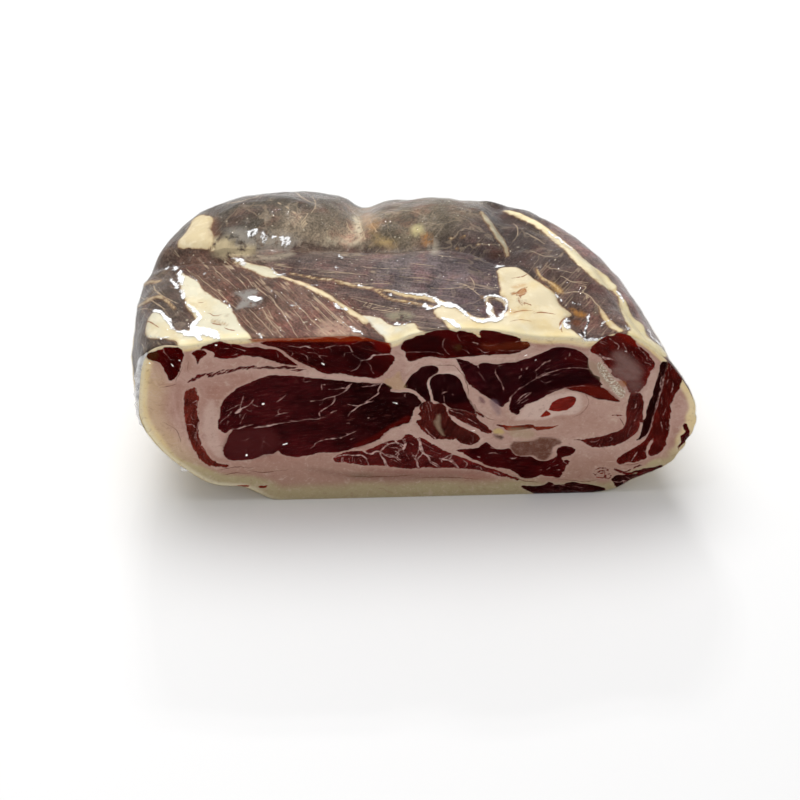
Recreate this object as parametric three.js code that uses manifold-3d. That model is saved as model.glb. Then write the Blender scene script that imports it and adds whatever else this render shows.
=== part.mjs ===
// A block of cured, boned Iberian pork shoulder, as it is sold in a tight clear vacuum film.
// The front is a straight cut across the shoulder. The rest is the rounded, dried outside of the
// piece, with muscles that swell and seams of fat that sink between them.
// Millimetres. +X is to the right of the cut face, +Y away from it and +Z up.
// The block lies on its fat side, on a flat patch at Z 0, and the origin is under its middle.

import * as THREE from "three";
import { mergeVertices } from "three/addons/utils/BufferGeometryUtils.js";
import Module from "manifold-3d";

// Driving sizes. Points are given on the cut face as [x, z] and from above as [x, y], with x 0 on
// the line between the great muscle and the knuckle, y 0 on the cut face and z 0 on the table.
const DEPTH = 115; // from the cut face to the back of the left-hand muscle
const SHORTER_RIGHT = 7; // the right-hand muscle ends this much nearer
const WAIST = { x: 5, z: 43 }; // the line that the sections shrink towards
const UNDERSIDE_SAG = 1.05; // the underside bulges by this factor before it is pressed flat
const FADE = 26; // depth over which the cut's own wavy edge becomes a plain rounded one
const SMOOTHING = 34; // length of edge that the rounded one is averaged over
const SWELL_LEFT = 5; // the left flank stands out this far past the cut's edge
const SWELL_EARLY = 0.75; // under 1, this puts the widest place nearer to the cut
const TUCK_RIGHT = 3.6; // the right flank drops in this far just behind the cut
const TUCK_RUN = 18; // depth over which it does
const LEFT_FLANK = { from: 0, to: 60 }; // distances from the waist over which a flank sets in
const RIGHT_FLANK = { from: 50, to: 95 };
const BACK_STEP = { from: -45, to: 5 }; // x over which the back passes to the shorter muscle
const RELIEF_START = 9; // depth over which the swellings on the top rise behind the cut
const RELIEF_RISE = { from: -10, to: 22 }; // heights from the waist over which they set in
const LEAN_RECESS = 0.8; // dried lean stands this far behind the fat on the cut face
const SHAPE = { left: 3.2, right: 1.9, top: 2.03, bottom: 4.2 }; // how blunt each side is to the back

const AROUND = 112; // points round a section
const RINGS = 32; // sections from the cut to the back
const CROWDING = 1.6; // how strongly the sections crowd towards the back
const OUTLINE_STEP = 2.6; // length of each edge of a muscle's outline
const ARC_DIVISIONS = 2000; // how finely a round loop is measured, to space its points evenly
const WELD = 1e-4; // points closer than this become one

const MEAT_COLOUR = 0x9c6f62; // dark red lean and cream fat, as one colour
const FILM_ROUGHNESS = 0.3;

// The edge of the cut face, clockwise from the left end of the flat patch that it rests on.
const CUT_EDGE = [
  [-45, -1], [-58, 7.5], [-69, 9.5], [-80, 20], [-88, 32.5], [-92.3, 47], [-90.5, 64], [-86.5, 79],
  [-80, 83.2], [-71, 82.6], [-60, 85], [-36, 85.3], [-13, 85.3], [-3, 82], [5, 85.6], [16, 87.6],
  [32, 86.6], [48, 83], [59, 82.2], [66, 80.8], [75, 84], [84, 79], [93, 69.5], [99.5, 59],
  [104.2, 46], [103, 28], [97.5, 16.5], [88, 9.5], [79, 2.5], [68, -1], [12, -1.5],
];

// The main muscles that the cut shows, each by the few points that its round edge goes through.
const MUSCLES = {
  corner_wedge: [[-86, 77], [-80, 81.5], [-74.5, 80], [-76, 70], [-79, 66], [-82, 74]],
  top_slab: [
    [-46, 84], [-28, 84.3], [-10, 84], [-3.2, 79.5], [-2.2, 73], [-8, 65.5], [-26, 67], [-35, 75.5],
  ],
  great_muscle: [
    [-65, 42], [-62, 57], [-45, 67], [-26, 65], [-5, 61], [6.5, 52.5], [3, 42.5], [-10, 32.5],
    [-27, 26], [-40, 24.6], [-61, 23.3], [-63.5, 31],
  ],
  fan_muscle: [
    [-24.5, 21.8], [-12, 27.5], [2, 34.8], [12, 27.5], [24, 20.5], [42, 11], [34, 12.2], [20, 16.2],
    [0, 16.6],
  ],
  knuckle_left: [[2, 60.5], [6, 68.3], [13, 69], [10, 61], [9.5, 54]],
  knuckle_right: [[10.8, 61], [15, 66], [20, 64.5], [26.3, 46.5], [13, 51.8]],
  hook_muscle: [[5.6, 44], [8.5, 50], [15.5, 49.5], [28, 32.5], [23, 29], [11, 33.5]],
  top_tongue: [
    [1, 80], [7, 85], [17, 86.9], [32, 85.6], [44.5, 79.5], [33, 75.3], [16, 74.3], [3, 73.5],
  ],
  arch_upper: [
    [20.5, 72.5], [36, 70.4], [56, 77.6], [65, 70.5], [53, 65.5], [38, 48.5], [27, 58],
  ],
  arch_lower: [
    [41, 52.5], [55, 65.8], [68.5, 63], [76.5, 50.3], [59, 56.2], [46, 50], [40, 45],
  ],
  belly_wedge: [
    [21, 26.2], [30, 29.3], [43, 21.4], [54, 20.4], [62, 24.8], [58.5, 10.4], [45, 10.6], [30, 19],
  ],
  right_cap: [[66, 76.5], [75.5, 83.6], [87.6, 67.5], [84.5, 58], [77, 71.5]],
  right_hook: [[81, 54], [86, 48], [83.5, 33.5], [71, 25.8], [66, 29.2], [79, 35]],
  outer_band: [[91.8, 68], [96.8, 59], [95.6, 34], [91.5, 20.6], [79, 17.8], [88, 28], [91.6, 50]],
};

// Long thin muscles: a spine of [x, z, half width].
const BANDS = {
  top_strip: [[-66, 81.6, 0.8], [-57, 80, 3.2], [-46, 78.6, 2.9], [-34.5, 70.8, 0.7]],
  left_band: [[-72.2, 61, 1], [-74, 50, 2.3], [-73.8, 33, 1.9], [-69, 22.8, 1.8], [-63, 21, 0.6]],
  outer_dark: [[88.6, 68, 0.7], [89, 56, 1.1], [87.8, 38, 1.1], [85.6, 29.8, 0.6]],
};

// Relief of the dried outside, seen from above. Mounds are muscles, grooves are sunken seams.
const MOUNDS = [
  { at: [-46, 72], radii: [24, 17], height: 6.5 }, // back left muscle
  { at: [14, 72], radii: [25, 15], height: 3 }, // back right muscle
  { at: [-82, 24], radii: [9, 13], height: 2.2 }, // dark lobe on the left shoulder of the block
  { at: [-42, 20], radii: [17, 12], height: 1.4 }, // fibrous muscle behind the top slab
  { at: [8, 38], radii: [24, 9], height: 2.2 }, // long muscle across the middle
  { at: [33, 19], radii: [6, 5], height: 1.3 }, // small oval muscle in the fat
  { at: [58, 34], radii: [13, 17], height: 2.4 }, // muscle on the right
];
const GROOVES = [
  // the crease between the broad front part of the top and the two back muscles
  { line: [[-84, 53], [-62, 48], [-40, 53], [-12, 54], [20, 50], [36, 44]], width: 5, depth: 4.8 },
  // the valley that parts the two back muscles
  { line: [[-18, 60], [-14, 76], [-12, 92], [-12, 110]], width: 6, depth: 4.5 },
  // seams of fat between the muscles of the front part, from the left to the right
  { line: [[-78, 40], [-70, 24], [-64, 8]], width: 6, depth: 1.6 },
  { line: [[-62, 47], [-42, 38], [-27, 29], [-8, 9]], width: 3.4, depth: 1.8 },
  { line: [[-8, 30], [10, 24], [20, 17], [36, 12]], width: 3.2, depth: 1.5 },
  { line: [[36, 44], [46, 40], [56, 24], [63, 8]], width: 3.4, depth: 1.8 },
  { line: [[42, 74], [62, 54], [76, 30], [85, 8]], width: 3, depth: 1.4 },
  // the membrane between the right back muscle and the right flank
  { line: [[38, 86], [40, 62], [42, 50]], width: 4, depth: 2.2 },
];

const wasm = await Module();
wasm.setup();

function smoothstep(low, high, value) {
  const t = Math.min(Math.max((value - low) / (high - low), 0), 1);
  return t * t * (3 - 2 * t);
}

// A closed round curve through points [a, b], as count evenly spaced points.
function roundLoop(points, count) {
  const curve = new THREE.CatmullRomCurve3(
    points.map(([a, b]) => new THREE.Vector3(a, b, 0)), true, "centripetal",
  );
  curve.arcLengthDivisions = ARC_DIVISIONS;
  return curve.getSpacedPoints(count).slice(0, count).map((p) => [p.x, p.y]);
}

function loopLength(points) {
  return points.reduce((sum, p, i) => {
    const next = points[(i + 1) % points.length];
    return sum + Math.hypot(next[0] - p[0], next[1] - p[1]);
  }, 0);
}

// The same loop with each point averaged over the edge near it, which rounds off the waves.
function rounded(loop, span) {
  const reach = Math.round((span / loopLength(loop)) * loop.length * 0.5);
  return loop.map((_, i) => {
    const sum = [0, 0];
    for (let k = -reach; k <= reach; k++) {
      const p = loop[(i + k + loop.length) % loop.length];
      sum[0] += p[0];
      sum[1] += p[1];
    }
    return sum.map((v) => v / (2 * reach + 1));
  });
}

// How much of a section remains at a share of the depth, from 1 at the cut to 0 at the back.
function remaining(share, bluntness) {
  return Math.pow(Math.max(1 - Math.pow(share, bluntness), 0), 1 / bluntness);
}

function distanceToLine(x, y, line) {
  let best = Infinity;
  for (let i = 0; i + 1 < line.length; i++) {
    const [ax, ay] = line[i];
    const [bx, by] = line[i + 1];
    const along = ((x - ax) * (bx - ax) + (y - ay) * (by - ay)) / ((bx - ax) ** 2 + (by - ay) ** 2);
    const t = Math.min(Math.max(along, 0), 1);
    best = Math.min(best, Math.hypot(x - ax - t * (bx - ax), y - ay - t * (by - ay)));
  }
  return best;
}

// Height of the muscles above the plain rounded top, or depth of the seams below it.
function reliefAt(x, y, z) {
  let height = 0;
  for (const { at, radii, height: most } of MOUNDS) {
    height += most * Math.exp(-(((x - at[0]) / radii[0]) ** 2) - ((y - at[1]) / radii[1]) ** 2);
  }
  for (const { line, width, depth } of GROOVES) {
    height -= depth * Math.exp(-((distanceToLine(x, y, line) / width) ** 2));
  }
  const onTop = smoothstep(RELIEF_RISE.from, RELIEF_RISE.to, z - WAIST.z);
  return height * onTop * smoothstep(0, RELIEF_START, y);
}

// One section of the block, as 3-D points.
function section(share, edge, plainEdge) {
  const plain = smoothstep(0, FADE, DEPTH * share);
  const swell = SWELL_LEFT * Math.sin(Math.PI * Math.pow(share, SWELL_EARLY));
  const tuck = TUCK_RIGHT * (2 * smoothstep(-TUCK_RUN, TUCK_RUN, DEPTH * share) - 1);
  const keep = {
    left: remaining(share, SHAPE.left),
    right: remaining(share, SHAPE.right),
    top: remaining(share, SHAPE.top),
    bottom: remaining(share, SHAPE.bottom) * (1 + (UNDERSIDE_SAG - 1) * plain),
  };
  return edge.map((own, i) => {
    const x0 = own[0] + (plainEdge[i][0] - own[0]) * plain - WAIST.x;
    const z0 = own[1] + (plainEdge[i][1] - own[1]) * plain - WAIST.z;
    const leftFlank = smoothstep(LEFT_FLANK.from, LEFT_FLANK.to, -x0) * swell;
    const rightFlank = smoothstep(RIGHT_FLANK.from, RIGHT_FLANK.to, x0) * tuck;
    const x = WAIST.x + (x0 < 0 ? keep.left : keep.right) * (x0 - leftFlank - rightFlank);
    const shorter = SHORTER_RIGHT * smoothstep(BACK_STEP.from, BACK_STEP.to, x);
    const z = WAIST.z + z0 * (z0 < 0 ? keep.bottom : keep.top);
    return new THREE.Vector3(x, share * (DEPTH - shorter), z);
  });
}

// Moves each point of the rings outwards by the relief, then presses the underside flat.
function addRelief(rings) {
  const moved = rings.map((ring, r) =>
    ring.map((p, i) => {
      const before = rings[Math.max(r - 1, 0)][i];
      const after = rings[Math.min(r + 1, rings.length - 1)][i];
      const previous = ring[(i + ring.length - 1) % ring.length];
      const next = ring[(i + 1) % ring.length];
      const round = new THREE.Vector3().subVectors(next, previous);
      const back = new THREE.Vector3().subVectors(after, before);
      const outwards = round.cross(back).normalize();
      return p.clone().addScaledVector(outwards, reliefAt(p.x, p.y, p.z));
    }),
  );
  for (const ring of moved) {
    for (const p of ring) p.z = Math.max(p.z, 0);
  }
  return moved;
}

// The whole block: rings from the cut to the back, closed by a point at each end.
function blockGeometry() {
  const edge = roundLoop(CUT_EDGE, AROUND);
  const plainEdge = rounded(edge, SMOOTHING);
  const rings = [];
  for (let r = 0; r < RINGS; r++) {
    const turned = 0.5 * Math.PI * (1 - Math.pow(1 - r / RINGS, CROWDING));
    rings.push(section(Math.sin(turned), edge, plainEdge));
  }
  const relieved = addRelief(rings);
  const points = relieved.flat();
  const cutMiddle = points.push(new THREE.Vector3(WAIST.x, 0, WAIST.z)) - 1;
  const backMiddle = points.push(new THREE.Vector3(WAIST.x, DEPTH - SHORTER_RIGHT, WAIST.z)) - 1;
  const faces = [];
  for (let i = 0; i < AROUND; i++) {
    const j = (i + 1) % AROUND;
    const last = (RINGS - 1) * AROUND;
    faces.push(cutMiddle, j, i, backMiddle, last + i, last + j);
    for (let r = 0; r + 1 < RINGS; r++) {
      const near = r * AROUND;
      const far = near + AROUND;
      faces.push(near + i, far + j, far + i, near + i, near + j, far + j);
    }
  }
  const geometry = new THREE.BufferGeometry().setFromPoints(points);
  geometry.setIndex(faces);
  return geometry;
}

// The outline of a long thin muscle, from its spine and half widths.
function bandOutline(spine) {
  const curve = new THREE.CatmullRomCurve3(spine.map(([x, z, half]) => new THREE.Vector3(x, z, half)));
  const steps = Math.ceil(curve.getLength() / OUTLINE_STEP);
  const sides = [[], []];
  for (let i = 0; i <= steps; i++) {
    const p = curve.getPoint(i / steps);
    const t = curve.getTangent(i / steps);
    const across = new THREE.Vector2(-t.y, t.x).normalize().multiplyScalar(p.z);
    sides[0].push([p.x + across.x, p.y + across.y]);
    sides[1].unshift([p.x - across.x, p.y - across.y]);
  }
  return [...sides[0], ...sides[1]];
}

function muscleOutline(points) {
  return roundLoop(points, Math.round(loopLength(points) / OUTLINE_STEP));
}

// A plug that stands through the cut face and takes its outline out of it to the lean's recess.
function recessTool(outline) {
  const shape = new THREE.Shape(outline.map(([x, z]) => new THREE.Vector2(x, z)));
  const plug = new THREE.ExtrudeGeometry(shape, { depth: 2 * LEAN_RECESS, bevelEnabled: false });
  plug.rotateX(Math.PI / 2); // the outline's second axis becomes Z, and its depth runs to -Y
  plug.translate(0, LEAN_RECESS, 0);
  return solidFrom(plug);
}

function solidFrom(geometry) {
  geometry.deleteAttribute("normal");
  geometry.deleteAttribute("uv");
  const merged = mergeVertices(geometry, WELD);
  return new wasm.Manifold(new wasm.Mesh({
    numProp: 3,
    vertProperties: new Float32Array(merged.attributes.position.array),
    triVerts: new Uint32Array(merged.index.array),
  }));
}

function geometryFrom(solid) {
  const mesh = solid.getMesh();
  const geometry = new THREE.BufferGeometry();
  geometry.setAttribute("position", new THREE.BufferAttribute(mesh.vertProperties, 3));
  geometry.setIndex(new THREE.BufferAttribute(mesh.triVerts, 1));
  geometry.computeVertexNormals();
  return geometry;
}

function curedShoulder() {
  let solid = solidFrom(blockGeometry());
  const outlines = [
    ...Object.values(MUSCLES).map(muscleOutline),
    ...Object.values(BANDS).map(bandOutline),
  ];
  for (const outline of outlines) solid = solid.subtract(recessTool(outline));
  const geometry = geometryFrom(solid);
  geometry.computeBoundingBox();
  const box = geometry.boundingBox;
  geometry.translate(-(box.min.x + box.max.x) / 2, -(box.min.y + box.max.y) / 2, -box.min.z);
  const material = new THREE.MeshStandardMaterial({
    color: MEAT_COLOUR,
    roughness: FILM_ROUGHNESS,
    metalness: 0,
  });
  const mesh = new THREE.Mesh(geometry, material);
  mesh.name = "cured_shoulder";
  return mesh;
}

const shoulder = new THREE.Group();
shoulder.add(curedShoulder());

export default shoulder;
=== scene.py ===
"""A block of cured, boned pork shoulder, cut straight across, in a tight clear film."""

import math

import bpy
import numpy as np
from mathutils import Matrix, Vector
from mathutils.geometry import delaunay_2d_cdt


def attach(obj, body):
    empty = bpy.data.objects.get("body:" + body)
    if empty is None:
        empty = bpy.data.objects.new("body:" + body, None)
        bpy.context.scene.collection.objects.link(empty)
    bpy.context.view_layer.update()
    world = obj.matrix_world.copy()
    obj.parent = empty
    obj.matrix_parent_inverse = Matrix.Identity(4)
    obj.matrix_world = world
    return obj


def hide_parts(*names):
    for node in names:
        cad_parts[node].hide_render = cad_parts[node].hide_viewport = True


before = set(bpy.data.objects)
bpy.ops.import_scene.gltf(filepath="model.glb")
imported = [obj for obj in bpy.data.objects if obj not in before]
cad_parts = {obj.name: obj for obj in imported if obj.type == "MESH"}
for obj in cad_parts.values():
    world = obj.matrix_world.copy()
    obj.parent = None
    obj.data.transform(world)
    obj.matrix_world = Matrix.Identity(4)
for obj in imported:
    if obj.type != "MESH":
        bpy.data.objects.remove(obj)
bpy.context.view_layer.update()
MM = 0.001

# The block's form, as in the CAD part, in mm. Points on the cut are [x, z], and from above [x, y].
DEPTH = 115.0
SHORTER_RIGHT = 7.0
WAIST_X, WAIST_Z = 5.0, 43.0
UNDERSIDE_SAG = 1.05
FADE = 26.0
SMOOTHING = 34.0
SWELL_LEFT = 5.0
SWELL_EARLY = 0.75
TUCK_RIGHT = 3.6
TUCK_RUN = 18.0
LEFT_FLANK = (0.0, 60.0)
RIGHT_FLANK = (50.0, 95.0)
BACK_STEP = (-45.0, 5.0)
RELIEF_START = 9.0
RELIEF_RISE = (-10.0, 22.0)
BLUNT_LEFT, BLUNT_RIGHT, BLUNT_TOP, BLUNT_BOTTOM = 3.2, 1.9, 2.03, 4.2
CROWDING = 1.6

CUT_EDGE = [
    (-45, -1), (-58, 7.5), (-69, 9.5), (-80, 20), (-88, 32.5), (-92.3, 47), (-90.5, 64), (-86.5, 79),
    (-80, 83.2), (-71, 82.6), (-60, 85), (-36, 85.3), (-13, 85.3), (-3, 82), (5, 85.6), (16, 87.6),
    (32, 86.6), (48, 83), (59, 82.2), (66, 80.8), (75, 84), (84, 79), (93, 69.5), (99.5, 59),
    (104.2, 46), (103, 28), (97.5, 16.5), (88, 9.5), (79, 2.5), (68, -1), (12, -1.5),
]
MOUNDS = [  # x, y, radius along x and y, height
    (-46, 72, 24, 17, 6.5), (14, 72, 25, 15, 3.0), (-82, 24, 9, 13, 2.2), (-42, 20, 17, 12, 1.4),
    (8, 38, 24, 9, 2.2), (33, 19, 6, 5, 1.3), (58, 34, 13, 17, 2.4),
]
GROOVES = [  # line, width, depth
    ([(-84, 53), (-62, 48), (-40, 53), (-12, 54), (20, 50), (36, 44)], 5.0, 4.8),
    ([(-18, 60), (-14, 76), (-12, 92), (-12, 110)], 6.0, 4.5),
    ([(-78, 40), (-70, 24), (-64, 8)], 6.0, 1.6),
    ([(-62, 47), (-42, 38), (-27, 29), (-8, 9)], 3.4, 1.8),
    ([(-8, 30), (10, 24), (20, 17), (36, 12)], 3.2, 1.5),
    ([(36, 44), (46, 40), (56, 24), (63, 8)], 3.4, 1.8),
    ([(42, 74), (62, 54), (76, 30), (85, 8)], 3.0, 1.4),
    ([(38, 86), (40, 62), (42, 50)], 4.0, 2.2),
]

# How finely the meat is meshed, in mm.
EDGE_STEP = 0.5
SKIN_STEP = 0.85
FLANK_STEP = 2.0
UNDER_STEP = 3.4
FLANK_HEIGHT, UNDER_HEIGHT = 60, 6
RING_STEPS = [(0, 0.35), (3, 0.55), (8, SKIN_STEP), (58, SKIN_STEP), (80, 1.3), (104, 2.6)]
CUT_STEP = 1.0
CUT_FINE = 0.5
CUT_FINEST = 0.33
CUT_FINE_REACH = 1.0

# The cut's rim and relief, and how far from an outline its depth is worked out.
RIM_RADIUS = 0.4
LEAN_RECESS = 0.2
SEAM_RECESS = 0.45
REACH = 6.0

# The film: how far it lies outside the skin and before the cut, and how far it mirrors.
FILM_GAP = 0.35
FILM_FRONT = -0.3
FILM_GLOSS, FILM_EDGE_GLOSS, FILM_FRONT_GLOSS = 0.36, 0.15, 0.03
NO_GLARE = -2.0

# How high the rind reaches on the hidden flanks: y and height, at the left and at the right.
RIND_LEFT = [(-2, 74), (12, 71), (35, 60), (60, 44), (85, 36), (115, 34)]
RIND_RIGHT = [(-2, 56), (15, 54), (35, 46), (60, 38), (85, 34), (115, 34)]

# The eye point that the photograph was taken from, from which the top's map was read.
EYE = np.array([0.0, -450.6, 536.1])
EYE_PITCH = math.radians(47.0)
EYE_ROLL = math.radians(1.36)
FOCAL_SHARE = 1880.0 / 800.0
TOP_LEVEL = 80.0
SENSOR = 36.0

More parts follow.
